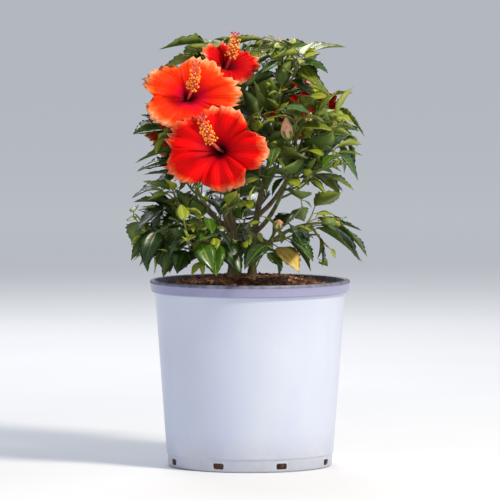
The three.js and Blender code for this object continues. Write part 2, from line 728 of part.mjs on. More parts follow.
function addMass(limb, azimuth, tierName) {
  tierCounts[tierName] += 1;
  const name = `shoot_${tierName}_${tierCounts[tierName]}`;
  const curve = shootCurve(limb, azimuth, tierName, name, flowers);
  world.masses.push({
    name,
    curve,
    line: polyline(curve, 4),
    flowers: flowers.filter((flower) => flower.shoot === name),
    twigs: [],
    leaves: [],
    grown: polyline(curve, 12),
  });
}

stems.forEach((stem, k) => {
  world.limbs.push({ line: polyline(stem, 4), radius: STEM_FOOT_RADIUS });
  addPiece(`stem_${k + 1}`, solidOf(tubeAlong(stem, stemRadius, STEM_SIDES, STEM_STEPS)), "bark");
});

BOUGHS.forEach((bough, k) => {
  const stem = stems[bough.stem];
  const curve = boughCurve(stem, bough);
  world.limbs.push({ line: polyline(curve, 4), radius: BOUGH_FOOT_RADIUS });
  addPiece(`bough_${k + 1}`, boughSolid(curve, stem), "bark");
  addMass(curve, bough.azimuth, bough.tier);
});

stems.forEach((stem, k) => addMass(stem, STEM_AZIMUTHS[k], "top"));

world.masses.forEach((mass, k) => growMass(mass, world, SEED_STEP * (k + 1)));
world.masses.forEach((mass) => addPiece(mass.name, massSolid(mass), "foliage"));

addPiece("pot", potSolid(), "pot");
addPiece("soil", soilSolid(), "soil");

export default group;
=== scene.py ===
# %% [markdown]
# # A hibiscus shrub in a white nursery pot
# The object is a young hibiscus in bloom: three leaning stems out of a pot of bark, ten side boughs, and leafy
# shoots with wide ruffled flowers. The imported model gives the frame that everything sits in. Each cell makes one
# piece or one finish, and says what it is on the real plant and why it is made that way here.

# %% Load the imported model
import math
import random

import bmesh
import bpy
import numpy as np
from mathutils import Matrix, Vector


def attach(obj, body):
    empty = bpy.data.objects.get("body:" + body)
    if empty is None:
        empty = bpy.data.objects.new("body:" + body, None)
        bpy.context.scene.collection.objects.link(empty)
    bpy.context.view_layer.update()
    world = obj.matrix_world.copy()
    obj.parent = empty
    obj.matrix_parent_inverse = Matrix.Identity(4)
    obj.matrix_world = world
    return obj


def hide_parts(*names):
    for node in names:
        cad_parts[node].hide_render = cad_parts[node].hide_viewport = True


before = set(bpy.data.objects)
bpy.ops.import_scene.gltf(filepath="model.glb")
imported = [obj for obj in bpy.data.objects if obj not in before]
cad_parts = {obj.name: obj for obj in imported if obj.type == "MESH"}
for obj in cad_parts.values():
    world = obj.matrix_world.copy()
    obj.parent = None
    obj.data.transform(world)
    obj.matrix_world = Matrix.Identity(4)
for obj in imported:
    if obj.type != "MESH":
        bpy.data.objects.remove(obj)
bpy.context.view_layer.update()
MASSES = [name for name in sorted(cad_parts) if name.startswith("shoot_")]
MM = 0.001
FULL_TURN = 2 * math.pi
print("nodes:", len(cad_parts), "leafy masses:", len(MASSES))

# %% [markdown]
# ## Small tools
# Shader trees and geometry trees are both made of nodes, so one function adds a node of any kind with its settings
# and its links, and what several nodes do together has a function named for its effect. Colours are written as
# the hex values that a designer reads off a swatch, and one function turns them to the linear values that Blender
# uses.


# %% Tools for nodes and colours
def linear(hex_colour):
    """A swatch such as "2F5A1B" as linear red, green, blue and alpha."""
    parts = [int(hex_colour[k:k + 2], 16) / 255 for k in (0, 2, 4)]
    return tuple(c / 12.92 if c <= 0.04045 else ((c + 0.055) / 1.055) ** 2.4 for c in parts) + (1.0,)


def add(tree, kind, sockets=None, **settings):
    """A new node. settings are its own properties; sockets maps inputs to values or to outputs that feed them."""
    node = tree.nodes.new(kind)
    for name, value in settings.items():
        setattr(node, name, value)
    for key, value in (sockets or {}).items():
        named = [socket for socket in node.inputs if socket.name == key and socket.enabled]
        socket = named[0] if named else node.inputs[key]
        if isinstance(value, bpy.types.NodeSocket):
            tree.links.new(value, socket)
        else:
            socket.default_value = value
    return node


def set_stops(ramp, stops):
    """Gives a colour ramp its (place, swatch) stops."""
    while len(ramp.color_ramp.elements) < len(stops):
        ramp.color_ramp.elements.new(0.5)
    for element, (place, colour) in zip(ramp.color_ramp.elements, stops):
        element.position = place
        element.color = linear(colour)
    return ramp.outputs["Color"]


def noise_of_size(tree, size_mm, detail=3.0, stretch=(1, 1, 1)):
    """A noise on object coordinates whose blotches measure about size_mm, stretched along an axis if asked."""
    place = add(tree, "ShaderNodeTexCoord").outputs["Object"]
    stretched = add(tree, "ShaderNodeMapping", {"Vector": place, "Scale": stretch}).outputs[0]
    return add(tree, "ShaderNodeTexNoise", {
        "Vector": stretched, "Scale": 1 / (size_mm * MM), "Detail": detail, "Roughness": 0.55}).outputs["Fac"]


def drifting(tree, blotches, stops):
    """A colour that drifts through (place, swatch) stops in blotches of (mm, detail, stretch)."""
    return set_stops(add(tree, "ShaderNodeValToRGB", {"Fac": noise_of_size(tree, *blotches)}), stops)


def turning(tree, colour, swatch, value, low, high, most=1.0):
    """A colour that turns to a swatch, at most by that share, as a value goes from low to high."""
    share = add(tree, "ShaderNodeMapRange", {"Value": value, "From Min": low, "From Max": high, "To Max": most})
    sockets = {"Factor": share.outputs[0], "A": colour, "B": linear(swatch)}
    return add(tree, "ShaderNodeMix", sockets, data_type="RGBA").outputs["Result"]


def new_finish(name, roughness, **constants):
    """A material with one Principled shader, whose constant values sit on its own sockets."""
    material = bpy.data.materials.new(name)
    material.use_nodes = True
    tree = material.node_tree
    tree.nodes.clear()
    shader = add(tree, "ShaderNodeBsdfPrincipled", {"Roughness": roughness, **constants})
    add(tree, "ShaderNodeOutputMaterial", {"Surface": shader.outputs[0]})
    return material, tree, shader


def paint(tree, shader, colour):
    tree.links.new(colour, shader.inputs["Base Color"])


def give_relief(tree, shader, height, depth_mm, strength=1.0):
    """Relief that is depth_mm deep where the height goes from 0 to 1."""
    bump = add(tree, "ShaderNodeBump", {"Height": height, "Distance": depth_mm * MM, "Strength": strength})
    tree.links.new(bump.outputs["Normal"], shader.inputs["Normal"])


def mottled(name, roughness, blotches, stops, relief=None, **constants):
    """A finish whose colour drifts, with relief of (depth in mm, blotches) if asked."""
    material, tree, shader = new_finish(name, roughness, **constants)
    paint(tree, shader, drifting(tree, blotches, stops))
    if relief:
        give_relief(tree, shader, noise_of_size(tree, *relief[1]), relief[0])
    return material


# %% [markdown]
# ## Meshes from points
# Pieces are drawn in millimetres and turned to metres once, when their mesh is made. A round piece such as the pot
# is a profile turned about the vertical axis; the first and last points of the profile lie on that axis, so its
# poles are closed by single vertices.


# %% Tools for meshes
def make_object(name, points_mm, faces=(), finishes=(), edges=()):
    mesh = bpy.data.meshes.new(name)
    mesh.from_pydata((np.asarray(points_mm, float) * MM).tolist(), list(edges), list(faces))
    mesh.update()
    for finish in finishes:
        mesh.materials.append(finish)
    shape = bpy.data.objects.new(name, mesh)
    bpy.context.scene.collection.objects.link(shape)
    return shape


def loose_object(name, shell):
    """An object outside the scene, made of a bmesh that is used up."""
    mesh = bpy.data.meshes.new(name)
    shell.to_mesh(mesh)
    shell.free()
    return bpy.data.objects.new(name, mesh)


def shape_box(name, shapes):
    """A collection outside the scene, whose shapes a geometry tree sets in place."""
    box = bpy.data.collections.new(name)
    for shape in shapes:
        box.objects.link(shape)
    return box


def turned(profile, sides):
    """Points and faces of a profile of (radius, height) turned about Z, with poles where the radius is 0."""
    points, rings = [], []
    for radius, height in profile:
        if radius == 0:
            rings.append([len(points)] * sides)
            points.append((0, 0, height))
        else:
            rings.append([len(points) + k for k in range(sides)])
            turns = [FULL_TURN * k / sides for k in range(sides)]
            points.extend((radius * math.cos(t), radius * math.sin(t), height) for t in turns)
    faces = []
    for low, high in zip(rings, rings[1:]):
        for k in range(sides):
            n = (k + 1) % sides
            corners = [low[k], low[n], high[n], high[k]]
            faces.append([c for i, c in enumerate(corners) if c != corners[i - 1]])
    return points, faces


def applied(shape):
    """The object with its modifiers turned into a plain mesh."""
    graph = bpy.context.evaluated_depsgraph_get()
    evaluated = shape.evaluated_get(graph)
    mesh = bpy.data.meshes.new_from_object(evaluated, preserve_all_data_layers=True, depsgraph=graph)
    shape.modifiers.clear()
    shape.data = mesh
    mesh.name = shape.name
    return shape


def set_values(shape, /, **named):
    """Named values for each point of a mesh: whole numbers, sizes or directions."""
    for name, values in named.items():
        values = np.asarray(values)
        kind = "FLOAT_VECTOR" if values.ndim == 2 else "INT" if values.dtype.kind == "i" else "FLOAT"
        layer = shape.data.attributes.new(name, kind, "POINT")
        number = np.int32 if kind == "INT" else np.float32
        layer.data.foreach_set("vector" if values.ndim == 2 else "value", values.astype(number).ravel())


def finish_piece(shape, slot="foliage", nodes=MASSES):
    """A finished piece rides on the plant's one body and stands for its CAD nodes, which are hidden; slot is not
    used.
    """
    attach(shape, "root")
    if nodes:
        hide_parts(*nodes)
    print(f"{shape.name}: {sum(len(face.vertices) - 2 for face in shape.data.polygons)} triangles")


# %% [markdown]
# ## Geometry trees
# Three kinds of small shapes are set in place by the hundred: bark chips, leaves and stamens. Each has a tree with
# named inputs that puts a shape on every point, makes the copies real and gives them their finish.


# %% Tools for geometry trees
def new_tree(name, **sockets):
    """An empty geometry tree with a Geometry input, further named inputs, and a Geometry output."""
    tree = bpy.data.node_groups.new(name, "GeometryNodeTree")
    tree.interface.new_socket("Geometry", in_out="INPUT", socket_type="NodeSocketGeometry")
    for socket, kind in sockets.items():
        tree.interface.new_socket(socket, in_out="INPUT", socket_type="NodeSocket" + kind)
    tree.interface.new_socket("Geometry", in_out="OUTPUT", socket_type="NodeSocketGeometry")
    return tree, add(tree, "NodeGroupInput").outputs


def set_shapes(tree, given, points, turn, size, **choice):
    """One of the given shapes on each point."""
    shapes = add(tree, "GeometryNodeCollectionInfo", {
        "Collection": given["Shapes"], "Separate Children": True, "Reset Children": True})
    return add(tree, "GeometryNodeInstanceOnPoints", {
        "Points": points, "Instance": shapes.outputs["Instances"], "Pick Instance": True, "Rotation": turn,
        "Scale": size, **choice}).outputs["Instances"]


def set_along(tree, given, face_way=(0, 0, 1), **choice):
    """A shape on each point of a mesh, laid along the direction and scaled to the length that the point carries."""
    points = add(tree, "GeometryNodeMeshToPoints", {"Mesh": given["Geometry"]})
    along = add(tree, "GeometryNodeInputNamedAttribute", {"Name": "along"}, data_type="FLOAT_VECTOR")
    length = add(tree, "GeometryNodeInputNamedAttribute", {"Name": "length"}, data_type="FLOAT")
    turn = add(tree, "FunctionNodeAxesToRotation", {
        0: along.outputs["Attribute"], 1: face_way}, primary_axis="X", secondary_axis="Z")
    return set_shapes(tree, given, points.outputs["Points"], turn.outputs["Rotation"],
                      length.outputs["Attribute"], **choice)


def end_tree(tree, geometry, finish, mark=None, marked_finish=None):
    """The end of a tree: copies are made real and painted, and the faces with a mark get a finish of their own."""
    made = add(tree, "GeometryNodeRealizeInstances", {"Geometry": geometry})
    made = add(tree, "GeometryNodeSetMaterial", {"Geometry": made.outputs[0], "Material": finish})
    if mark:
        marked = add(tree, "GeometryNodeInputNamedAttribute", {"Name": mark}, data_type="BOOLEAN")
        made = add(tree, "GeometryNodeSetMaterial", {
            "Geometry": made.outputs[0], "Selection": marked.outputs["Attribute"], "Material": marked_finish})
    add(tree, "NodeGroupOutput", {"Geometry": made.outputs[0]})


def run_tree(shape, tree, **inputs):
    """Runs a geometry tree on an object, with its named inputs set by identifier, and keeps the plain mesh."""
    modifier = shape.modifiers.new(tree.name, "NODES")
    modifier.node_group = tree
    for item in tree.interface.items_tree:
        if item.item_type == "SOCKET" and item.in_out == "INPUT" and item.name in inputs:
            modifier[item.identifier] = inputs[item.name]
    return applied(shape)


# %% [markdown]
# ## Camera, lights and floor
# The plant is seen from the front through a long lens, 7.2 m away, and the camera looks down by only three or four
# degrees, so the rim shows nearly edge-on. A warm key stands high on the right like a hazy sun, a weak cool fill
# opens the left side, and a back light draws the leaf edges. The floor is pale and plain, and isn't part of the
# plant.

# %% Camera
CAMERA_DISTANCE = 7.2
CAMERA_ELEVATION = math.radians(3.5)
SENSOR_WIDTH_MM = 36
FRAME_HEIGHT = 0.665
AIM = Vector((0, 0, 0.287))


def aim_at(shape, target):
    shape.rotation_euler = (target - shape.location).to_track_quat("-Z", "Y").to_euler()


scene = bpy.context.scene
camera_data = bpy.data.cameras.new("camera")
camera_data.sensor_width = SENSOR_WIDTH_MM
camera_data.lens = SENSOR_WIDTH_MM * CAMERA_DISTANCE / FRAME_HEIGHT
camera_data.clip_end = 40
camera = bpy.data.objects.new("camera", camera_data)
camera.location = AIM + CAMERA_DISTANCE * Vector((0, -math.cos(CAMERA_ELEVATION), math.sin(CAMERA_ELEVATION)))
aim_at(camera, AIM)
scene.collection.objects.link(camera)
scene.camera = camera
scene.view_settings.view_transform = "Standard"
print("lens:", round(camera_data.lens), "mm")

# %% Lights: name, place, size, power and colour
LIGHTS = [
    ("key", (1.5, -1.5, 2.3), 0.5, 92, "FFF4E2"),
    ("fill", (-2.4, -1.9, 1.3), 2.4, 6, "DCE8FF"),
    ("back", (-0.5, 2.2, 2.2), 1.4, 34, "FFFFFF"),
]
LIT_POINT = Vector((0, 0, 0.33))
for name, place, size, power, colour in LIGHTS:
    lamp_data = bpy.data.lights.new(name, "AREA")
    lamp_data.size = size
    lamp_data.energy = power
    lamp_data.color = linear(colour)[:3]
    lamp = bpy.data.objects.new(name, lamp_data)
    lamp.location = place
    aim_at(lamp, LIT_POINT)
    scene.collection.objects.link(lamp)

world = bpy.data.worlds.new("soft room")
world.use_nodes = True
room = world.node_tree.nodes["Background"].inputs
room["Color"].default_value = linear("E4EAF4")
room["Strength"].default_value = 0.58
scene.world = world

# %% Floor
FLOOR_REACH_MM = 16000
FADE_FROM, FADE_TO = 0.8, 6.0  # in metres from the pot
paper, tree, shader = new_finish("matte studio paper", 0.95, **{"Specular IOR Level": 0.0})
tone = drifting(tree, (900,), [(0.3, "DCDEE2"), (0.7, "E2E4E8")])
place = add(tree, "ShaderNodeTexCoord").outputs["Object"]
from_pot = add(tree, "ShaderNodeVectorMath", {0: place}, operation="LENGTH").outputs["Value"]
# Paler with distance, so that the floor meets the background without a line
paint(tree, shader, turning(tree, tone, "FFFFFF", from_pot, FADE_FROM, FADE_TO))
corners = [(x * FLOOR_REACH_MM, y * FLOOR_REACH_MM, 0) for x, y in ((-1, -1), (1, -1), (1, 1), (-1, 1))]
floor = make_object("floor", corners, [(0, 1, 2, 3)], [paper])

# %% [markdown]
# ## Pot
# A three-gallon nursery pot is injection-moulded polypropylene in two layers, white outside so that the roots stay
# cool and black inside. Its rim carries a turned-down lip, its wall tapers to a foot that is set back a little, and
# eight drain slots cut the foot. The profile is turned about the axis in one mesh. The slots are cut by a Boolean
# with rounded blocks, because a cut hole has the true wall thickness at its edge.

# %% Pot sizes, as in the solid
POT_HEIGHT = 248
RIM_RADIUS = 133
LIP_HEIGHT = 16
LIP_BOTTOM = POT_HEIGHT - LIP_HEIGHT
WALL_TOP_RADIUS = 126.5
WALL_FOOT_RADIUS = 111
WALL_THICKNESS = 2.6
FLOOR_THICKNESS = 3
FOOT_HEIGHT = 18
FOOT_RECESS = 1.8
FOOT_RADIUS = WALL_FOOT_RADIUS - FOOT_RECESS
DRAIN_SLOTS = 8
DRAIN_SIZE = (14, 15, 8)  # through the wall, along it and up
DRAIN_ROUNDING = 2.2
POT_SIDES = 144


def wall_radius(height):
    share = (height - FOOT_HEIGHT) / (LIP_BOTTOM - FOOT_HEIGHT)
    return WALL_FOOT_RADIUS + (WALL_TOP_RADIUS - WALL_FOOT_RADIUS) * share


def inner_radius(height):
    return wall_radius(height) - WALL_THICKNESS


# %% Pot finishes
white_pp, tree, shader = new_finish(
    "white polypropylene, injection moulded", 0.36, **{"IOR": 1.49, "Coat Weight": 0.12, "Coat Roughness": 0.2})
# Cool white with very faint flow marks, grime that gathers at the foot, and painted shade on the lip
tone = drifting(tree, (60, 4, (1, 1, 0.35)), [(0.35, "C4CCE2"), (0.65, "CBD2E2")])
place = add(tree, "ShaderNodeTexCoord").outputs["Object"]
height = add(tree, "ShaderNodeSeparateXYZ", {0: place}).outputs["Z"]
spots = noise_of_size(tree, 14, 6)
near_foot = add(tree, "ShaderNodeMapRange", {
    "Value": height, "From Min": 50 * MM, "From Max": 4 * MM, "To Max": 0.55})
grime = add(tree, "ShaderNodeMath", {0: spots, 1: near_foot.outputs[0]}, operation="MULTIPLY")
grimy = add(
    tree, "ShaderNodeMix", {"Factor": grime.outputs[0], "A": tone, "B": linear("9A8F80")}, data_type="RGBA")
# Painted shade: from the foot of the lip upwards the white is painted a darker lavender grey
paint(tree, shader, turning(
    tree, grimy.outputs["Result"], "9091B3", height, (LIP_BOTTOM - 1.5) * MM, (LIP_BOTTOM + 0.5) * MM, 0.95))
give_relief(tree, shader, noise_of_size(tree, 1.6, 2), 0.05, 0.5)
# Slate rather than black at the rim, where it is scuffed and dusty
black_pp = mottled(
    "black polypropylene, moulded inner layer", 0.5, (9, 5), [(0.35, "5A5A6E"), (0.7, "7E7E93")], IOR=1.49)

# %% Pot mesh
def steps_from(radius, height, *steps):
    """Points of a profile, as steps out from a radius and up from a height."""
    return [(radius + out, height + up) for out, up in steps]


WHITE_PROFILE = [
    (0, 1.2), *steps_from(FOOT_RADIUS, 0, (-16, 1.2), (-14, 0), (-4, 0), (-1.4, 0.9), (0, 3)),
    *steps_from(FOOT_RADIUS, FOOT_HEIGHT - FOOT_RECESS, (0, -0.8), (0.4, 0)),
    *steps_from(WALL_FOOT_RADIUS, FOOT_HEIGHT, (-0.3, -0.5), (0, 0.6)),
    *((wall_radius(height), height) for height in (90, 160, LIP_BOTTOM - 1.2)), (WALL_TOP_RADIUS + 0.6, LIP_BOTTOM),
    *steps_from(RIM_RADIUS, LIP_BOTTOM, (-2.6, 0.3), (-1.7, 1.2)),
    *steps_from(RIM_RADIUS, POT_HEIGHT, (-0.6, -5.5), (0, -4.2)),
]
BLACK_PROFILE = [
    *steps_from(RIM_RADIUS, POT_HEIGHT, (0, -2.4), (-0.8, -0.7), (-2.4, 0), (-6, 0), (-7.4, -0.8)),
    *((inner_radius(height), height) for height in (POT_HEIGHT - 6, 120, FLOOR_THICKNESS + 3)),
    (inner_radius(FLOOR_THICKNESS) - 3, FLOOR_THICKNESS), (0, FLOOR_THICKNESS),
]
pot = make_object("nursery_pot", *turned(WHITE_PROFILE + BLACK_PROFILE, POT_SIDES), [white_pp, black_pp])
is_black = np.arange(len(pot.data.polygons)) >= (len(WHITE_PROFILE) - 1) * POT_SIDES
pot.data.polygons.foreach_set("material_index", is_black.astype(np.int32))

blocks = bmesh.new()
for k in range(DRAIN_SLOTS):
    turn = FULL_TURN * (k + 0.5) / DRAIN_SLOTS
    for corner in bmesh.ops.create_cube(blocks, size=MM)["verts"]:
        out, side, up = (part * size for part, size in zip(corner.co, DRAIN_SIZE))
        out += FOOT_RADIUS * MM
        corner.co = (out * math.cos(turn) - side * math.sin(turn), out * math.sin(turn) + side * math.cos(turn),
                     up + (FLOOR_THICKNESS + 1 + DRAIN_SIZE[2] / 2) * MM)
bmesh.ops.bevel(
    blocks, geom=list(blocks.edges), offset=DRAIN_ROUNDING * MM, segments=3, affect="EDGES", profile=0.5)
cutter = loose_object("drain_cutter", blocks)
scene.collection.objects.link(cutter)
cut = pot.modifiers.new("drains", "BOOLEAN")
cut.object = cutter
cut.operation = "DIFFERENCE"
cut.solver = "EXACT"
applied(pot)
bpy.data.objects.remove(cutter)
pot.data.shade_smooth()
pot.data.set_sharp_from_angle(angle=math.radians(38))
finish_piece(pot, "pot", ["pot"])

# %% [markdown]
# ## Bark mulch
# The pot is filled with composted pine bark. It is a dark crumbly bed with hundreds of loose chips on it, most of
# them red-brown, a few pale where fresh wood shows. The bed is a turned mesh whose top is roughened, and the chips
# are a Geometry Nodes scatter: points spread over the bed, a chip on each with a random turn and size, all made
# real at the end. Scattering by nodes keeps one chip shape per kind and the count in a single number.

# %% Bark bed
SOIL_EDGE = 238
SOIL_TOP = 252
SOIL_FLAT_RADIUS = 48
SOIL_UNDERSIDE = 3.3
GAP = 0.3
bed_edge = inner_radius(SOIL_EDGE) - GAP


def bed_height(radius):
    """The mounded bark: level in the middle, falling to the wall."""
    share = np.clip((radius - SOIL_FLAT_RADIUS) / (bed_edge - SOIL_FLAT_RADIUS), 0, 1)
    return SOIL_TOP - 1.2 - (SOIL_TOP - SOIL_EDGE) * share ** 1.2


def bed_rings(radius, count, lift=0.0):
    """The bed's top as a profile from a radius to the middle."""
    steps = [radius * (1 - k / count) for k in range(count + 1)]
    return [(step, bed_height(step) + lift) for step in steps]


under_edge = inner_radius(SOIL_UNDERSIDE) - GAP
under_profile = [(0, SOIL_UNDERSIDE), (under_edge, SOIL_UNDERSIDE), (bed_edge, SOIL_EDGE - 2)]
bed_points, bed_faces = turned(under_profile + bed_rings(bed_edge, 26), 120)
pick = random.Random(11)
bed_points = [
    (x, y, z + (pick.uniform(-1.6, 1.1) if z > SOIL_EDGE - 1 and math.hypot(x, y) < bed_edge - 2 else 0))
    for x, y, z in bed_points]
bark_fines = mottled(
    "composted bark fines", 0.95, (5, 6), [(0.3, "33221A"), (0.5, "5A3E2C"), (0.72, "7E5C44")], (1.2, (2.2, 5)))
bed = make_object("bark_bed", bed_points, bed_faces, [bark_fines])
bed.data.shade_smooth()
finish_piece(bed, "soil", ["soil"])


# %% Chip shapes and their scatter
def bark_chip(name, seed, *sizes):
    """A splintered flake: the convex hull of a few random points in a flat block."""
    pick = random.Random(seed)
    shell = bmesh.new()
    for _ in range(11):
        shell.verts.new([pick.uniform(-0.5, 0.5) * size for size in sizes])
    inner = bmesh.ops.convex_hull(shell, input=shell.verts)["geom_interior"]
    bmesh.ops.delete(shell, geom=[part for part in inner if isinstance(part, bmesh.types.BMVert)], context="VERTS")
    bmesh.ops.recalc_face_normals(shell, faces=shell.faces)
    return loose_object(name, shell)


chip_box = shape_box("chip_shapes", [
    bark_chip(f"chip_{k}", 40 + k, 1.0, 0.45 + 0.05 * k, 0.2 + 0.03 * k) for k in range(6)])
scatter, given = new_tree(
    "scatter_chips", Density="Float", Length="Float", Seed="Int", Shapes="Collection", Finish="Material")
seed = {"Seed": given["Seed"]}
spots = add(scatter, "GeometryNodeDistributePointsOnFaces", {
    "Mesh": given["Geometry"], "Density": given["Density"], **seed})
tilt = add(scatter, "FunctionNodeRandomValue", {
    "Min": (-0.5, -0.5, 0.0), "Max": (0.5, 0.5, 6.28), **seed}, data_type="FLOAT_VECTOR")
lie = add(scatter, "FunctionNodeEulerToRotation", {"Euler": tilt.outputs["Value"]})
size = add(scatter, "FunctionNodeRandomValue", {"Min": 0.55, "Max": 1.35, **seed})
length = add(scatter, "ShaderNodeMath", {
    0: size.outputs["Value"], 1: given["Length"]}, operation="MULTIPLY").outputs[0]
placed = set_shapes(scatter, given, spots.outputs["Points"], lie.outputs["Rotation"], length)
end_tree(scatter, placed, given["Finish"])

# %% Loose chips: name, finish, its two colours, chips to the square metre, their length and the seed
CHIP_KINDS = [
    ("red_chips", "red-brown pine bark", "6A3C2A", "A26A4C", 15000.0, 12, 1),
    ("dark_chips", "wet pine bark", "3E281E", "6A4634", 9000.0, 11, 2),
    ("pale_chips", "fresh pine wood", "A8865F", "D8B48C", 2600.0, 10, 3),
]
CHIP_BED_RADIUS = 116
CHIP_LIFT = 0.6
for name, finish, dark, light, density, length, seed in CHIP_KINDS:
    # Fibrous bark: grain lines along the chip and a rough, dull face
    fibrous = mottled(finish, 0.85, (4, 5, (1, 1, 2)), [(0.3, dark), (0.7, light)], (0.5, (1.1, 4)))
    chips = make_object(name, *turned(bed_rings(CHIP_BED_RADIUS, 12, CHIP_LIFT), 48))
    run_tree(chips, scatter, Density=density, Length=length * MM, Seed=seed, Shapes=chip_box, Finish=fibrous)
    finish_piece(chips, "soil", [])

# %% [markdown]
# ## The rule that the plant grows by
# The solid model grows its twigs and leaves by one seeded rule, and the same rule is written again here, so that
# the dressed plant has the same limbs, twigs and leaves in the same places. A mass of leaves keeps to the space
# that is nearer to its own shoot than to any other. Leaves turn by the golden angle from one to the next, which is
# how real shoots keep them out of each other's shade. Lengths are in millimetres, as in the solids.

# %% Sizes of the plant, as in the solids
CLUMP_X, CLUMP_Y = -14, -2
STEM_AZIMUTHS = [234, 354, 114]
STEM_FOOT_SPREAD, STEM_TOP_SPREAD = 17, 36
STEM_TOP_HEIGHT = 392
STEM_FOOT_RADIUS, STEM_TOP_RADIUS = 5.4, 3.1
ROOT_FLARE, ROOT_FLARE_SHARE = 0.45, 0.1
BOUGH_FOOT_RADIUS, BOUGH_TIP_RADIUS = 3.3, 2.7
TIERS = {  # reach and rise of a bough, reach and height of its shoot's tip
    "low": (38, 17, 104, 322), "under": (34, 22, 86, 358), "middle": (40, 38, 112, 452), "top": (0, 0, 46, 545)}
BOUGHS = [  # stem, share up it, azimuth, tier
    (0, 0.13, 240, "low"), (0, 0.27, 188, "low"), (0, 0.44, 258, "under"),
    (1, 0.14, 294, "low"), (1, 0.27, 10, "low"), (1, 0.42, 316, "middle"), (1, 0.58, 30, "middle"),
    (2, 0.2, 100, "low"), (2, 0.42, 168, "middle"), (2, 0.58, 96, "middle"),
]
CROWN_RADIUS = 168
CROWN_TOP = 571
CROWN_FLOOR = SOIL_TOP + 4
SHOOT_RADIUS, SHOOT_TIP_RADIUS = 2.6, 1.8
TWIG_RADIUS, TWIG_TIP_RADIUS = 2.0, 1.5
TWIG_LENGTH = 66
INTERNODE = 13.5
GOLDEN_ANGLE = math.pi * (3 - math.sqrt(5))
LEAF_LENGTH = 74
LEAF_HALF_WIDTH = 0.29
LEAF_FOLD = 0.3
LEAF_STALK = 0.24
TRIES = [  # how much smaller, further round and higher a leaf or twig is tried
    (1, 0, 0), (1, 0.8, 0.1), (0.85, -0.8, 0.2), (0.8, 0, 0.5), (0.7, 1.6, 0), (0.6, -1.6, 0.3), (0.52, 2.4, 0.6)]
LEAF_CLEARANCE = 5
TWIG_CLEARANCE = 4
SPACE_MARGIN = 1.5
LIMB_CLEARANCE = 4
FLOWERS = [  # shoot, share along it, centre of the face, azimuth, elevation, width
    ("shoot_top_1", 1, (-76, -72, 497), 280, 13, 138),
    ("shoot_top_1", 0.12, (-50, -122, 428), 250, 9, 152),
    ("shoot_top_3", 0.7, (-24, -14, 540), 300, 36, 92),
    ("shoot_middle_2", 1, (78, 98, 472), 64, 24, 126),
    ("shoot_middle_3", 1, (-98, 82, 452), 128, 22, 122),
]
FLOWER_DEPTH = 0.34
FLOWER_HEIGHT = 0.76
PETALS = 5
CALYX_RADIUS = 7.5
FLOWER_CLEARANCE = 5
FACE_CLEARANCE = 32
UP = np.array([0, 0, 1.0])


# %% Random numbers, directions and curves
def seeded_random(seed):
    """Repeatable numbers from 0 to 1, by the same simple generator as in the solids."""
    state = seed

    def draw():
        nonlocal state
        state = state * 16807 % 2147483647
        return state / 2147483647

    return draw


def golden_turns(turn):
    """Turns about a limb, each a golden angle on from the last."""
    while True:
        yield turn
        turn += GOLDEN_ANGLE


def unit(vector):
    return vector / np.linalg.norm(vector)


def direction_of(azimuth_degrees, elevation_degrees=0):
    azimuth, elevation = math.radians(azimuth_degrees), math.radians(elevation_degrees)
    level = math.cos(elevation)
    return np.array([level * math.cos(azimuth), level * math.sin(azimuth), math.sin(elevation)])


def across_of(direction):
    """Two unit vectors across a direction, steady for steep and for level directions."""
    reference = np.array([1.0, 0, 0]) if abs(direction[2]) > 0.8 else UP
    side = unit(np.cross(direction, reference))
    return side, unit(np.cross(side, direction))


def swung(side, other, turn):
    """A direction across a limb, at a turn about it."""
    return side * math.cos(turn) + other * math.sin(turn)


class Curve:
    """A quadratic Bezier curve."""

    def __init__(self, start, bend, end):
        self.start, self.bend, self.end = (np.asarray(p, float) for p in (start, bend, end))

    def at(self, share):
        t = np.asarray(share, float)[..., None]
        return (1 - t) ** 2 * self.start + 2 * t * (1 - t) * self.bend + t * t * self.end

    def tangent(self, share):
        return unit(self.at(min(1, share + 1e-4)) - self.at(max(0, share - 1e-4)))

    def frame(self, share):
        """The point there, the way the curve runs, and the two directions across it."""
        tangent = self.tangent(share)
        return self.at(share), tangent, *across_of(tangent)

    def line(self, steps):
        return self.at(np.linspace(0, 1, steps + 1))

    def length(self):
        return float(np.linalg.norm(np.diff(self.line(200), axis=0), axis=1).sum())


def distance_to_line(points, line):
    """The distance from each point to a chain of straight pieces."""
    start, along = line[:-1], np.diff(line, axis=0)
    offset = points[:, None] - start
    share = np.clip((offset * along).sum(-1) / (along * along).sum(-1), 0, 1)
    return np.sqrt(((offset - share[..., None] * along) ** 2).sum(-1).min(1))


# %% Limbs and flowers of the rule
def stem_curve(azimuth):
    outward = direction_of(azimuth)
    foot = np.array([CLUMP_X, CLUMP_Y, SOIL_TOP + GAP]) + outward * STEM_FOOT_SPREAD
    top = np.array([CLUMP_X, CLUMP_Y, STEM_TOP_HEIGHT]) + outward * STEM_TOP_SPREAD
    return Curve(foot, [foot[0], foot[1], (foot[2] + top[2]) / 2], top)


def stem_radius(share):
    flare = 1 + ROOT_FLARE * np.maximum(0, 1 - share / ROOT_FLARE_SHARE) ** 2
    return (STEM_FOOT_RADIUS + (STEM_TOP_RADIUS - STEM_FOOT_RADIUS) * share) * flare


def bough_curve(stem, share, azimuth, tier):
    reach, rise, _, _ = TIERS[tier]
    outward, foot = direction_of(azimuth), stem.at(share)
    return Curve(foot, foot + outward * reach * 0.55 + UP * rise * 0.3, foot + outward * reach + UP * rise)


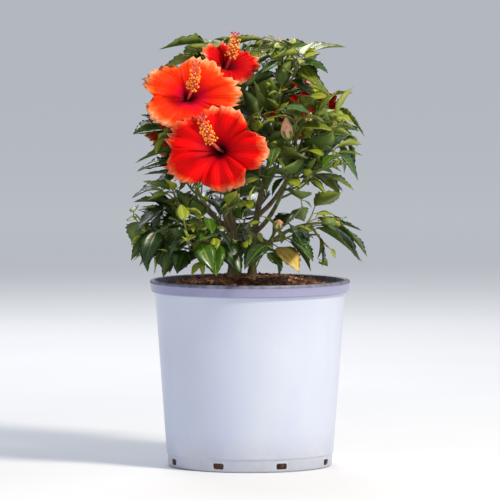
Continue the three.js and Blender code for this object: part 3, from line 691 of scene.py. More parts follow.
class Flower:
    """A flower's own frame: its centre, the way it faces, and the foot of its funnel."""

    def __init__(self, shoot, share, centre, azimuth, elevation, width):
        self.shoot, self.share = shoot, share
        self.centre, self.facing = np.array(centre, float), direction_of(azimuth, elevation)
        self.radius, self.depth = width / 2, width * FLOWER_DEPTH
        self.foot = self.centre - self.facing * self.depth
        self.right = unit(np.cross(UP, self.facing))
        self.up = np.cross(self.facing, self.right)

    def place(self, points):
        """How high each point is over the face, and how far from its middle."""
        offset = points - self.centre
        return offset @ self.facing, np.hypot(offset @ self.right, offset @ self.up / FLOWER_HEIGHT)

    def room(self, points, clearance):
        """Whether each point is in the room that the flower keeps: its funnel, its face and some air before it."""
        height, radial = self.place(points)
        rise = np.minimum(1, 1 + height / self.depth)
        reach = self.radius * (0.12 + 0.88 * rise * rise) + clearance
        return (height >= -self.depth) & (height <= FACE_CLEARANCE) & (radial < reach)


def shoot_curve(limb, azimuth, tier, name):
    _, _, tip_reach, tip_height = TIERS[tier]
    tangent = limb.tangent(1)
    start = limb.at(1) + tangent * GAP
    tip = np.array([CLUMP_X / 2, CLUMP_Y / 2, tip_height]) + direction_of(azimuth) * tip_reach
    for flower in flowers:
        if flower.shoot == name and flower.share == 1:
            tip = flower.foot - flower.facing * CALYX_RADIUS
    return Curve(start, start + tangent * np.linalg.norm(tip - start) * 0.45, tip)


stems = [stem_curve(azimuth) for azimuth in STEM_AZIMUTHS]
boughs = [bough_curve(stems[stem], share, azimuth, tier) for stem, share, azimuth, tier in BOUGHS]
flowers = [Flower(*values) for values in FLOWERS]
limb_lines = [(stem.line(4), STEM_FOOT_RADIUS) for stem in stems]
limb_lines += [(bough.line(4), BOUGH_FOOT_RADIUS) for bough in boughs]
print("stems:", len(stems), "boughs:", len(boughs), "flowers:", len(flowers))


# %% Masses and their spaces
class Mass:
    """One leafy shoot with its twigs and leaves, and what it has grown so far."""

    def __init__(self, name, curve):
        self.name, self.curve, self.line = name, curve, curve.line(4)
        self.grown, self.twigs, self.leaves = curve.line(12), [], []
        self.flower_air = 0

    def free(self, points):
        """Whether all points are in the crown, clear of limbs, and in this mass's own space."""
        if points[:, 2].min() <= CROWN_FLOOR or points[:, 2].max() >= CROWN_TOP:
            return False
        if np.hypot(points[:, 0], points[:, 1]).max() >= CROWN_RADIUS:
            return False
        for flower in flowers:
            clearance = 0 if flower.shoot == self.name else FLOWER_CLEARANCE
            if flower.room(points, clearance + self.flower_air).any():
                return False
        if any(distance_to_line(points, line).min() <= radius + LIMB_CLEARANCE for line, radius in limb_lines):
            return False
        own = distance_to_line(points, self.line) + SPACE_MARGIN
        return all((own < distance_to_line(points, other.line)).all() for other in masses if other is not self)

    def clear(self, points, clearance):
        """Whether the points keep clear of the blades and twigs that the mass has grown."""
        gaps = ((self.grown[:, None] - points) ** 2).sum(-1)
        return gaps.min() > clearance * clearance

    def keep(self, points):
        self.grown = np.vstack([self.grown, points])


masses = []
counts = dict.fromkeys(TIERS, 0)
for limb, azimuth, tier in [(bough, row[2], row[3]) for bough, row in zip(boughs, BOUGHS)] + [
        (stem, azimuth, "top") for stem, azimuth in zip(stems, STEM_AZIMUTHS)]:
    counts[tier] += 1
    name = f"shoot_{tier}_{counts[tier]}"
    masses.append(Mass(name, shoot_curve(limb, azimuth, tier, name)))
print("masses:", [mass.name for mass in masses])


# %% Leaves and twigs of the rule
def half_width(share):
    return LEAF_HALF_WIDTH * np.sin(np.pi * share ** 0.8) * (1 - share) ** 0.12


def blade_points(leaf, share_steps=8, side_steps=4):
    share = np.repeat(np.linspace(0, 1, share_steps + 1), side_steps + 1)
    side = np.tile(np.linspace(-1, 1, side_steps + 1), share_steps + 1)
    width = side * half_width(share)
    height = np.abs(width) * LEAF_FOLD - leaf["droop"] * share * share
    local = np.stack([share, width, height], 1) * leaf["length"]
    return leaf["base"] + local @ np.stack([leaf["along"], leaf["across"], leaf["normal"]])


def try_leaf(mass, curve, share, turn, size, draw, tone, clearance=LEAF_CLEARANCE, steps=(16, 8)):
    """One leaf: its numbers are drawn first, then it is tried at other turns and smaller sizes."""
    length = LEAF_LENGTH * size * (0.82 + 0.36 * draw())
    pitch = math.radians(18 + 34 * draw())
    lift = -0.15 + 0.5 * draw()
    sag = (0.2 + 1.5 * draw()) * (1 - 0.45 * share)
    droop = 0.06 + 0.18 * draw()
    roll = (draw() - 0.5) * 1.3
    root, tangent, side, other = curve.frame(share)
    for try_size, try_turn, try_lift in TRIES:
        outward = swung(side, other, turn + try_turn)
        stalk_way = outward * math.cos(pitch) + tangent * math.sin(pitch)
        stalk_way[2] += lift + try_lift
        stalk_way = unit(stalk_way)
        along = unit(stalk_way - UP * sag)
        level, up = across_of(along)
        normal = unit(up * math.cos(roll) * np.sign(up[2]) + level * math.sin(roll))
        leaf = {"root": root, "along": along, "normal": normal, "across": np.cross(normal, along), "droop": droop,
                "length": length * try_size, "tone": tone}
        leaf["base"] = root + stalk_way * leaf["length"] * LEAF_STALK
        blade = blade_points(leaf)
        if mass.clear(blade, clearance) and mass.free(blade_points(leaf, *steps)):
            mass.leaves.append(leaf)
            mass.keep(blade)
            return leaf
    return None


def leaf_along(mass, curve, first, last, draw, tone):
    """Leaves round a twig, with a tuft at its tip."""
    count = max(2, math.floor(curve.length() * (1 - first) / INTERNODE + 0.5))
    turns = golden_turns(draw() * 2 * math.pi)
    for k in range(count + 1):
        size = 0.72 if k == count else 1
        try_leaf(mass, curve, first + (last - first) * k / count, next(turns), size, draw, tone)
    try_leaf(mass, curve, last, next(turns), 0.6, draw, tone)


def try_twig(mass, share, turn, draw):
    """One side twig of a shoot, tried like a leaf and then leafed from a seed of its own."""
    length = TWIG_LENGTH * (0.75 + 0.5 * draw())
    rise = 0.15 + 0.5 * draw()
    seed = math.floor(draw() * 1e6) + 1
    root, tangent, side, other = mass.curve.frame(share)
    for try_size, try_turn, _ in TRIES:
        heading = swung(side, other, turn + try_turn) * 0.8 + tangent * 0.45
        reach = length * try_size
        tip = root + heading * reach * 0.9 + UP * (rise * reach * 0.6)
        curve = Curve(root, root + heading * reach * 0.5, tip)
        path = curve.line(10)[2:]
        if mass.clear(path, TWIG_CLEARANCE) and mass.free(path):
            mass.twigs.append(curve)
            mass.keep(path)
            leaf_along(mass, curve, 0.3, 0.97, seeded_random(seed), seed)
            return


for k, mass in enumerate(masses):
    draw = seeded_random(1009 * (k + 1))
    count = math.floor(mass.curve.length() / (INTERNODE * 1.25) + 0.5)
    for j, turn in zip(range(count), golden_turns(draw() * 2 * math.pi)):
        try_twig(mass, (j + 0.7) / (count + 0.6), turn, draw)
    leaf_along(mass, mass.curve, 0.12, 0.9, draw, k + 1)
print("twigs:", sum(len(mass.twigs) for mass in masses), "leaves:", sum(len(mass.leaves) for mass in masses))

# %% [markdown]
# ## Finer growth
# The solids carry only as many leaves as their count of faces allows. The real shrub has finer side sprigs with
# smaller leaves between the large ones, and a tuft of young leaves at each tip. They grow by the same rule, with
# closer clearances, and stay in the same spaces, so the crown keeps its outline and its gaps.

# %% Sprigs and tufts
SPRIG_LENGTH = 30
SPRIG_RADIUS, SPRIG_TIP_RADIUS = 1.1, 0.8
SPRIG_LEAVES = [(0.5, 0.85), (0.72, 0.72), (0.95, 0.66), (0.98, 0.42)]  # share along the sprig and size
SPRIG_CLEARANCE = 2.2
SPRIG_SPACING, LOW_SPRIG_SPACING = 14, 10
FINE_LEAF = {"clearance": 3.2, "steps": (8, 4)}
TUFT_LEAF = {"clearance": 1.8, "steps": (8, 4)}
FINE_FLOWER_AIR = 5
sprigs = []


def try_sprig(mass, curve, share, turn, draw):
    length = SPRIG_LENGTH * (0.7 + 0.6 * draw())
    root, tangent, side, other = curve.frame(share)
    tone = math.floor(draw() * 1e6) + 1
    for try_size, try_turn, try_lift in TRIES[:5]:
        outward = swung(side, other, turn + try_turn)
        heading = unit(outward * 0.85 + tangent * 0.5 + UP * (0.25 + try_lift))
        sprig = Curve(root, root + heading * length * 0.5, root + (heading + UP * 0.12) * length * try_size)
        path = sprig.line(5)[2:]
        if mass.clear(path, SPRIG_CLEARANCE) and mass.free(path):
            grown = [try_leaf(mass, sprig, place, turn + k * GOLDEN_ANGLE, size, draw, tone, **FINE_LEAF)
                     for k, (place, size) in enumerate(SPRIG_LEAVES)]
            if any(grown):
                mass.keep(path)
                sprigs.append(sprig)
            return


for k, mass in enumerate(masses):
    mass.flower_air = FINE_FLOWER_AIR
    draw = seeded_random(733 * (k + 3))
    spacing = LOW_SPRIG_SPACING if "low" in mass.name or "under" in mass.name else SPRIG_SPACING
    for curve in [mass.curve] + mass.twigs:
        count = max(2, math.floor(curve.length() / spacing))
        turns = golden_turns(draw() * 2 * math.pi)
        for j in range(count):
            try_sprig(mass, curve, (j + 0.6) / (count + 0.3), next(turns), draw)
        for j in range(3):
            try_leaf(mass, curve, 0.995, next(turns), 0.34 - 0.06 * j, draw, 0, **TUFT_LEAF)
print("sprigs:", len(sprigs), "leaves with the finer ones:", sum(len(mass.leaves) for mass in masses))

# %% [markdown]
# ## Open places
# The photograph shows the crown open low on the right, where only single leaves hang, and nothing grows over the
# open face of a bloom. The leaves that the rule put there are left out again, and the short sprigs with them.

# %% Open places
OPEN_LOW_RIGHT = {"x": (8, 160), "z": (258, 374), "kept": 0.2}
BARE_LOW_RIGHT = {"x": (56, 200), "z": (0, 298), "kept": 0.1}
YELLOW_LEAF = np.array([46, -100, 288])
KEPT_ROUND_YELLOW = 30
SEEN_BUD = np.array([55, -100, 446])
BUD_BOX_MIDDLE = 14  # over the bud's foot
BUD_BOX = (10, 6, 17)  # to each side, behind the foot, and up or down from the middle
RIM_BAND = 0.4  # the part of the funnel under the rim, as a share of its depth
LONG_LEAF = 60
HANGING_RIGHT = unit(np.array([0.8, -0.15, -0.5]))
HANGING_ENOUGH = 0.85  # the cosine of the angle to that direction


def blade_middle(leaf):
    return leaf["base"] + leaf["along"] * leaf["length"] / 2


def over_petals(leaf):
    """Whether a blade reaches over the rim of an open bloom."""
    for flower in flowers:
        height, radial = flower.place(blade_points(leaf))
        if ((height > -RIM_BAND * flower.depth) & (height < FACE_CLEARANCE) & (radial < flower.radius)).any():
            return True
    return False


def in_place(place, point, chance=1):
    inside = place["x"][0] < point[0] < place["x"][1] and place["z"][0] < point[2] < place["z"][1]
    return inside and chance > place["kept"]


def in_open_place(leaf, chance):
    """Whether a leaf's middle is in the open place, or its tip hangs into the bare one."""
    if np.linalg.norm(blade_middle(leaf) - YELLOW_LEAF) < KEPT_ROUND_YELLOW:
        return False
    if leaf["length"] > LONG_LEAF and leaf["along"] @ HANGING_RIGHT > HANGING_ENOUGH:
        return False
    tip = leaf["base"] + leaf["along"] * leaf["length"]
    return in_place(OPEN_LOW_RIGHT, blade_middle(leaf), chance) or in_place(BARE_LOW_RIGHT, tip, chance)


# The bud right of the blooms stands on the twig that ends nearest to its place, clear of leaves before it
all_twigs = [twig for mass in masses for twig in mass.twigs]
bud_twig = min(all_twigs, key=lambda twig: np.linalg.norm(twig.at(1) - SEEN_BUD))
bud_foot = bud_twig.at(1)
print("the seen bud stands at", bud_foot.round())


def hides_bud(leaf):
    """Whether a blade comes into the box round the bud, which is open to the front."""
    x, y, z = (blade_points(leaf) - bud_foot - UP * BUD_BOX_MIDDLE).T
    side, behind, up = BUD_BOX
    return ((np.abs(x) < side) & (np.abs(z) < up) & (y < behind)).any()


chances = random.Random(29)
all_leaves = [leaf for mass in masses for leaf in mass.leaves
              if not over_petals(leaf) and not in_open_place(leaf, chances.random()) and not hides_bud(leaf)]
sprigs = [sprig for sprig in sprigs
          if not in_place(OPEN_LOW_RIGHT, sprig.at(1)) and not in_place(BARE_LOW_RIGHT, sprig.at(1))]
print("leaves left:", len(all_leaves), "sprigs left:", len(sprigs))

# %% [markdown]
# ## Stems and boughs
# A young hibiscus has thin brown-green bark with pale corky dots and a slight swelling at each old leaf scar. Each
# limb follows the same curve and taper as its solid. A geometry tree sweeps a circle along the line, scales it by
# the radius that each point carries, and pushes the surface in and out by a stretched noise for the bark's relief.

# %% Sweep a limb along a line
sweep, given = new_tree("sweep_limb", Sides="Int", Relief="Float", Grain="Float", Finish="Material")
line_of = add(sweep, "GeometryNodeMeshToCurve", {"Mesh": given["Geometry"]})
ring = add(sweep, "GeometryNodeCurvePrimitiveCircle", {"Resolution": given["Sides"], "Radius": 1.0})
girth = add(sweep, "GeometryNodeInputNamedAttribute", {"Name": "girth"}, data_type="FLOAT")
swept = add(sweep, "GeometryNodeCurveToMesh", {
    "Curve": line_of.outputs["Curve"], "Profile Curve": ring.outputs["Curve"], "Fill Caps": True,
    "Scale": girth.outputs["Attribute"]})
position = add(sweep, "GeometryNodeInputPosition").outputs[0]
drawn_out = add(sweep, "ShaderNodeVectorMath", {0: position, 1: (1, 1, 0.3)}, operation="MULTIPLY")
fissures = add(sweep, "ShaderNodeTexNoise", {
    "Vector": drawn_out.outputs[0], "Scale": given["Grain"], "Detail": 3.0})
centred = add(sweep, "ShaderNodeMath", {0: fissures.outputs["Fac"], 1: 0.5}, operation="SUBTRACT")
depth = add(sweep, "ShaderNodeMath", {0: centred.outputs[0], 1: given["Relief"]}, operation="MULTIPLY")
outward = add(sweep, "GeometryNodeInputNormal").outputs["Normal"]
push = add(sweep, "ShaderNodeVectorMath", {0: outward, "Scale": depth.outputs[0]}, operation="SCALE")
pushed = add(sweep, "GeometryNodeSetPosition", {"Geometry": swept.outputs["Mesh"], "Offset": push.outputs[0]})
smooth = add(sweep, "GeometryNodeSetShadeSmooth", {"Geometry": pushed.outputs["Geometry"]})
end_tree(sweep, smooth.outputs["Geometry"], given["Finish"])


def sweep_lines(name, lines, finish, sides, relief_mm=0.0, grain_mm=4.0, *slot_and_nodes):
    """One piece of many tapering limbs. Each line is (points in mm, radius in mm at each point)."""
    edges, first = [], 0
    for line, _ in lines:
        edges += [(first + k, first + k + 1) for k in range(len(line) - 1)]
        first += len(line)
    shape = make_object(name, np.vstack([line for line, _ in lines]), edges=edges)
    set_values(shape, girth=np.concatenate([radius for _, radius in lines]) * MM)
    run_tree(shape, sweep, Sides=sides, Relief=relief_mm * MM, Grain=1 / (grain_mm * MM), Finish=finish)
    finish_piece(shape, *slot_and_nodes)


def tapered(curve, start, end, steps):
    return curve.line(steps), np.linspace(start, end, steps + 1)


# %% Bark finish
shrub_bark, tree, shader = new_finish("young hibiscus bark", 0.72, **{"Specular IOR Level": 0.35})
# Grey-brown with green showing through, and pale corky dots about a millimetre wide
tone = drifting(tree, (7, 5, (1, 1, 0.4)), [(0.3, "4A3E26"), (0.5, "6E5F3C"), (0.66, "7E7650"), (0.8, "8F8460")])
dots = drifting(tree, (1.3, 1), [(0.66, "000000"), (0.72, "FFFFFF")])
dotted = add(tree, "ShaderNodeMix", {"Factor": dots, "A": tone, "B": linear("A79C7A")}, data_type="RGBA")
paint(tree, shader, dotted.outputs["Result"])
give_relief(tree, shader, noise_of_size(tree, 1.2, 4, (1, 1, 0.3)), 0.35)

# %% Stems and boughs, each over its own solid
LIMB_STEPS = 70
SCAR_SPACING = 17
SCAR_SWELLING = 0.09
share = np.linspace(0, 1, LIMB_STEPS + 1)
bough_radius = BOUGH_FOOT_RADIUS + (BOUGH_TIP_RADIUS - BOUGH_FOOT_RADIUS) * share
for kind, limbs, radius, sides, relief, grain in [
        ("stem", stems, stem_radius(share), 28, 0.9, 3.2), ("bough", boughs, bough_radius, 18, 0.5, 2.6)]:
    for k, limb in enumerate(limbs):
        place = share * limb.length() / SCAR_SPACING
        scarred = radius * (1 + SCAR_SWELLING * np.exp(-((place % 1 - 0.5) / 0.09) ** 2))
        line = (limb.line(LIMB_STEPS), scarred)
        name = f"{kind}_bark_{k + 1}"
        sweep_lines(name, [line], shrub_bark, sides, relief, grain, "bark", [f"{kind}_{k + 1}"])

# %% [markdown]
# ## Green twigs and leaf stalks
# This year's shoots are green and smooth, browner where they start, and the leaf stalks are thin with a red tinge
# on the side that meets the sun. They are swept by the same tree, all twigs in one mesh and all stalks in another.

# %% Shoots, twigs and stalks
green_wood = mottled("green hibiscus shoot", 0.5, (12, 4), [(0.35, "5B5A2C"), (0.55, "6B7A36"), (0.75, "7E7A46")],
                     (0.15, (1.5, 3)))
leaf_stalk = mottled("hibiscus leaf stalk", 0.45, (8, 2), [(0.35, "6F7A34"), (0.7, "86703C")])
twig_lines = [tapered(mass.curve, SHOOT_RADIUS, SHOOT_TIP_RADIUS, 24) for mass in masses]
twig_lines += [tapered(twig, TWIG_RADIUS * 0.9, TWIG_TIP_RADIUS * 0.75, 10) for twig in all_twigs]
twig_lines += [tapered(sprig, SPRIG_RADIUS, SPRIG_TIP_RADIUS, 5) for sprig in sprigs]
sweep_lines("green_twigs", twig_lines, green_wood, 9, 0.25, 3.0)

stalk_lines = []
for leaf in all_leaves:
    middle = (leaf["root"] + leaf["base"]) / 2 + UP * (leaf["length"] * 0.02)
    end = leaf["base"] + leaf["along"] * leaf["length"] * 0.05
    thickness = 0.55 + 0.45 * leaf["length"] / LEAF_LENGTH
    stalk_lines.append(tapered(Curve(leaf["root"], middle, end), thickness, thickness * 0.72, 4))
sweep_lines("leaf_stalks", stalk_lines, leaf_stalk, 6)

# %% [markdown]
# ## Leaf shapes
# A hibiscus leaf is oval with a drawn-out tip and coarse forward-pointing teeth on its outer two thirds. It folds
# a little along the midrib, bulges between the midrib and the edge, and its tip hangs. Eight leaf meshes of about
# fifty faces differ in droop, wave and teeth. Each is one unit long, closed, with a top and an underside, and its
# own UV map runs across the blade and along it, so that the veins follow each leaf.

# %% Leaf meshes
LEAF_SHARES = [0, 0.1, 0.23, 0.36, 0.49, 0.62, 0.75, 0.88, 1]
LEAF_COLUMNS = [-1, -0.5, 0, 0.5, 1]
LEAF_THICKNESS = 0.009
LEAF_FULLNESS = 1.13
LEAF_BULGE = 0.022
LEAF_DROOPS = [0.08, 0.13, 0.18, 0.23]
TOOTH_SHIFT = 0.035
TOOTH_SIZE, FOOT_TOOTH_SIZE = 0.17, 0.07


def leaf_mesh(name, droop, seed):
    pick = random.Random(seed)
    wave, phase = pick.uniform(0.008, 0.02), pick.uniform(0, 6.28)
    twist, bend = pick.uniform(-0.16, 0.16), pick.uniform(-0.05, 0.05)
    shell = bmesh.new()
    uv_layer = shell.loops.layers.uv.new("LeafMap")
    upper_layer = shell.faces.layers.bool.new("upper")
    uv_of = {}

    def vertex(share, side, lift=0.0, out=1.0):
        width = side * float(half_width(np.float64(share))) * LEAF_FULLNESS * out
        height = abs(width) * LEAF_FOLD - droop * share * share + lift
        height += wave * math.sin(share * 17 + phase + 2 * side) * abs(side) ** 2 + twist * width * share
        height += LEAF_BULGE * math.sin(math.pi * abs(side)) * math.sin(math.pi * share)
        corner = shell.verts.new((share, width + bend * math.sin(math.pi * share), height))
        uv_of[corner] = (0.5 + 0.5 * side, share)
        return corner

    base, tip = vertex(0, 0), vertex(1, 0)
    rows = []
    for share in LEAF_SHARES[1:-1]:
        top = [vertex(share, side, 0 if abs(side) == 1 else LEAF_THICKNESS / 2) for side in LEAF_COLUMNS]
        rows.append((top, vertex(share, 0, -LEAF_THICKNESS)))
    teeth = []
    for share in (row - TOOTH_SHIFT for row in LEAF_SHARES[2:-1]):
        tooth = TOOTH_SIZE if share > 0.3 else FOOT_TOOTH_SIZE
        size = 1 + tooth * pick.uniform(0.8, 1.2) + 0.1 * max(0, share - 0.6)
        teeth.append([vertex(share, side, 0, size) for side in (-1, 1)])
    (first, first_under), (last, last_under) = rows[0], rows[-1]
    upper = [(left, right, base) for left, right in zip(first, first[1:])]
    lower = [(first[0], first_under, base), (first_under, first[4], base)]
    for (near, near_under), (far, far_under), (left, right) in zip(rows, rows[1:], teeth):
        upper += [(left, far[0], far[1], near[1], near[0]), (far[1], far[2], near[2], near[1]),
                  (far[2], far[3], near[3], near[2]), (far[3], far[4], right, near[4], near[3])]
        lower += [(far_under, far[0], left, near[0], near_under), (right, far[4], far_under, near_under, near[4])]
    upper += [(tip, right, left) for left, right in zip(last, last[1:])]
    lower += [(last_under, tip, last[0]), (last[4], tip, last_under)]
    made = [(shell.faces.new(face), True) for face in upper] + [(shell.faces.new(face), False) for face in lower]
    bmesh.ops.recalc_face_normals(shell, faces=shell.faces)
    for face, is_upper in made:
        face[upper_layer] = is_upper
        face.smooth = True
        for loop in face.loops:
            loop[uv_layer].uv = uv_of[loop.vert]
    return loose_object(name, shell)


leaf_box = shape_box("leaf_shapes", [
    leaf_mesh(f"leaf_{k}", LEAF_DROOPS[k // 2], 60 + k) for k in range(len(LEAF_DROOPS) * 2)])

# %% [markdown]
# ## Leaf finishes
# The upper side is dark and glossy with a waxy skin, the veins are sunken and paler, and the underside is dull
# and greyer. Leaves where little light falls take a dark finish, which is painted shade, most are mid green,
# those that catch the sun take an olive finish, which is painted light, and the youngest leaves and the most lit
# ones are bright yellow-green, partly painted light. One old leaf low on the right has turned yellow. Each family
# is a finish of its own, dealt out by spray.


# %% Leaf finishes
def map_parts(tree, name):
    """How far across and along a blade or petal a point is, from its own UV map."""
    parts = add(tree, "ShaderNodeSeparateXYZ", {0: add(tree, "ShaderNodeUVMap", uv_map=name).outputs["UV"]})
    return parts.outputs["X"], parts.outputs["Y"]


def leaf_top(name, roughness, dark, light, vein):
    material, tree, shader = new_finish(
        name, roughness, **{"IOR": 1.45, "Coat Weight": 0.3, "Coat Roughness": 0.22})
    across, along = map_parts(tree, "LeafMap")
    from_rib = add(tree, "ShaderNodeMath", {0: across, 1: 0.5}, operation="SUBTRACT")
    aside = add(tree, "ShaderNodeMath", {0: from_rib.outputs[0]}, operation="ABSOLUTE").outputs[0]
    # Side veins leave the midrib forwards, about seven to a blade
    slant = add(tree, "ShaderNodeMath", {0: aside, 1: -0.42}, operation="MULTIPLY")
    shifted = add(tree, "ShaderNodeMath", {0: along, 1: slant.outputs[0]}, operation="ADD")
    counted = add(tree, "ShaderNodeMath", {0: shifted.outputs[0], 1: 7.0}, operation="MULTIPLY")
    wave = add(tree, "ShaderNodeMath", {0: counted.outputs[0], 1: 1.0}, operation="PINGPONG")
    side_vein = add(tree, "ShaderNodeMapRange", {"Value": wave.outputs[0], "From Min": 0.1, "From Max": 0.0})
    rib = add(tree, "ShaderNodeMapRange", {"Value": aside, "From Min": 0.045, "From Max": 0.012})
    fainter = add(tree, "ShaderNodeMath", {0: side_vein.outputs[0], 1: 0.5}, operation="MULTIPLY")
    both = add(tree, "ShaderNodeMath", {0: fainter.outputs[0], 1: rib.outputs[0]}, operation="MAXIMUM")
    veins = both.outputs[0]
    blotches = drifting(tree, (24, 4), [(0.35, dark), (0.65, light)])
    veined = add(tree, "ShaderNodeMix", {"Factor": veins, "A": blotches, "B": linear(vein)}, data_type="RGBA")
    paint(tree, shader, veined.outputs["Result"])
    sunken = add(tree, "ShaderNodeMath", {0: 1.0, 1: veins}, operation="SUBTRACT")
    give_relief(tree, shader, sunken.outputs[0], 0.5, 0.6)
    return material


# Each family: its top with a roughness and dark, light and vein colours, and its underside with dark and light
# The dark family is painted shade and the olive family painted light; the young family holds young leaves and
# painted light
LEAF_FAMILIES = {
    "dark": (("old hibiscus leaf, waxy top", 0.36, "193007", "28440C", "577024"),
             ("old hibiscus leaf, dull underside", "3A521A", "4C6321")),
    "green": (("grown hibiscus leaf, waxy top", 0.36, "2C4E0C", "416611", "7B8E2F"),
              ("grown hibiscus leaf, dull underside", "4E691D", "63792C")),
    "olive": (("sunlit hibiscus leaf, waxy top", 0.4, "516413", "77821E", "AAA83B"),
              ("sunlit hibiscus leaf, dull underside", "6C7F2B", "899335")),
    "young": (("young hibiscus leaf, thin top", 0.42, "73881F", "96A024", "C3BE44"),
              ("young hibiscus leaf, thin underside", "899C2C", "AAB238")),
    "yellow": (("spent hibiscus leaf, yellowed", 0.5, "B08E34", "D2B455", "E2CE8C"),
               ("spent hibiscus leaf, yellowed underside", "A68A3C", "C6AC5A")),
}


# %% Deal the leaves out to their families
YELLOW_LENGTH = 45
TURNED_AWAY = 60
SMALL_LEAF = 30
YOUNG_AT_TIPS = 0.7
# Painted light and shade: the less light a leaf's place gets, the darker the family it is dealt to
LIGHT_STEPS = [("dark", 0.3), ("green", 0.62), ("olive", 0.82), ("young", math.inf)]


def from_yellow(leaf):
    """How far a leaf is from the place of the yellow one, and more if it is turned away from the front."""
    return np.linalg.norm(blade_middle(leaf) - YELLOW_LEAF) + TURNED_AWAY * (1 - abs(leaf["normal"][1]))


yellow = min((leaf for leaf in all_leaves if leaf["length"] > YELLOW_LENGTH), key=from_yellow)


def family_of(leaf):
    """Young at the tips, and elsewhere the paler the more light the place gets, with some chance in it."""
    if leaf is yellow:
        return "yellow"
    x, y, z = blade_middle(leaf)
    chance = random.Random(int(leaf["tone"]) * 7 + int(leaf["length"] * 100)).random()
    if leaf["tone"] == 0 or leaf["length"] < SMALL_LEAF:
        return "young" if chance < YOUNG_AT_TIPS else "olive"
    out = math.hypot(x, y) / CROWN_RADIUS
    light = 0.55 * (z - CROWN_FLOOR) / (CROWN_TOP - CROWN_FLOOR) + 0.25 * out + 0.15 * x / CROWN_RADIUS
    light += 0.5 * (chance - 0.5)
    return next(family for family, limit in LIGHT_STEPS if light < limit)


# %% [markdown]
# ## Leaves on their stalks
# Each leaf is a point that carries its direction, the way its face looks, its length and which leaf shape it is.
# A geometry tree turns a leaf to those two directions, scales it and makes it real, then paints the faces marked
# as upper with the top's finish and the others with the underside's.

# %% Place the leaves
leafing, given = new_tree("place_leaves", Shapes="Collection", Top="Material", Underside="Material")
face_way = add(leafing, "GeometryNodeInputNamedAttribute", {"Name": "face_way"}, data_type="FLOAT_VECTOR")
number = add(leafing, "GeometryNodeInputNamedAttribute", {"Name": "shape"}, data_type="INT")
placed = set_along(
    leafing, given, face_way.outputs["Attribute"], **{"Instance Index": number.outputs["Attribute"]})
end_tree(leafing, placed, given["Underside"], "upper", given["Top"])

for family, (top, (name, dark, light)) in LEAF_FAMILIES.items():
    underside = mottled(name, 0.62, (20, 3), [(0.35, dark), (0.65, light)], (0.2, (2.5, 3)))
    spray = [leaf for leaf in all_leaves if family_of(leaf) == family]
    # The droops of the rule, 0.06 to 0.24, fall into four pairs of shapes
    kinds = [min(3, int((leaf["droop"] - 0.055) / 0.046)) * 2 + int(leaf["length"] * 10) % 2 for leaf in spray]
    leaves = make_object(f"leaves_{family}", [leaf["base"] for leaf in spray])
    set_values(leaves, along=[leaf["along"] for leaf in spray], face_way=[leaf["normal"] for leaf in spray],
               length=[leaf["length"] * MM for leaf in spray], shape=kinds)
    run_tree(leaves, leafing, Shapes=leaf_box, Top=leaf_top(*top), Underside=underside)
    print(family, len(spray), "leaves")
    finish_piece(leaves)

# %% [markdown]
# ## Petals
# A bloom has five wide petals that overlap like the blades of a fan, drawn together in a funnel and frilled at
# their edges. Each petal is a grid bent by the same formula as its solid, with waves that grow towards the edge.
# The sheet is given its thickness by a Solidify modifier. Its UV map runs across the petal and from foot to edge,
# so the dark eye, the red blade and the orange frill fall in their places.


# %% Petal finish
def petal_finish(name, stops, vein):
    """A thin satin petal: dark eye, coloured blade, pale frill with a ragged border, and fine veins along it."""
    material, tree, shader = new_finish(name, 0.55, **{"IOR": 1.36, "Specular IOR Level": 0.14})
    across, along = map_parts(tree, "PetalMap")
    centred = add(tree, "ShaderNodeMath", {0: noise_of_size(tree, 13, 4), 1: 0.5}, operation="SUBTRACT")
    uneven = add(tree, "ShaderNodeMath", {0: centred.outputs[0], 1: 0.22}, operation="MULTIPLY")
    ragged = add(tree, "ShaderNodeMath", {0: along, 1: uneven.outputs[0]}, operation="ADD")
    blade = set_stops(add(tree, "ShaderNodeValToRGB", {"Fac": ragged.outputs[0]}), stops)
    turns = add(tree, "ShaderNodeMath", {0: across, 1: 88.0}, operation="MULTIPLY")
    wave = add(tree, "ShaderNodeMath", {0: turns.outputs[0]}, operation="SINE").outputs[0]
    paint(tree, shader, turning(tree, blade, vein, wave, 0.3, 1.0, 0.2))
    give_relief(tree, shader, wave, 0.25, 0.5)
    return material


flame_petal = petal_finish("orange-red hibiscus petal", [
    (0.12, "3E0614"), (0.24, "8A0A26"), (0.4, "DA1034"), (0.56, "F01E08"), (0.84, "F93C0A"), (0.92, "FF7434"),
    (0.98, "FFB080")], "B8101C")
scarlet_petal = petal_finish("scarlet hibiscus petal", [
    (0.12, "300410"), (0.24, "6E0618"), (0.42, "C40212"), (0.6, "E40208"), (0.87, "EA0804"), (0.94, "FA5A2C"),
    (0.99, "FFA27A")], "980614")
deep_petal = petal_finish("deep red hibiscus petal", [
    (0.12, "300410"), (0.28, "6E0618"), (0.5, "B6010C"), (0.86, "D00406"), (0.94, "F06A40"),
    (0.99, "FFC09A")], "840410")
PETAL_FINISHES = [flame_petal, scarlet_petal, deep_petal, scarlet_petal, flame_petal]

# %% Petal shape
PETAL_ROWS, PETAL_COLUMNS = 18, 16
PETAL_SPREAD = 0.72
PETAL_THICKNESS_MM = 0.7
PETAL_OUTLINE = ([0.04, 0.3, 0.6, 0.86, 1], [0.82, 0.84, 0.9, 0.92, 0.8])  # width at shares of the length
FRILL, FINE_FRILL, FINE_FRILL_FROM = 0.12, 0.19, 0.72


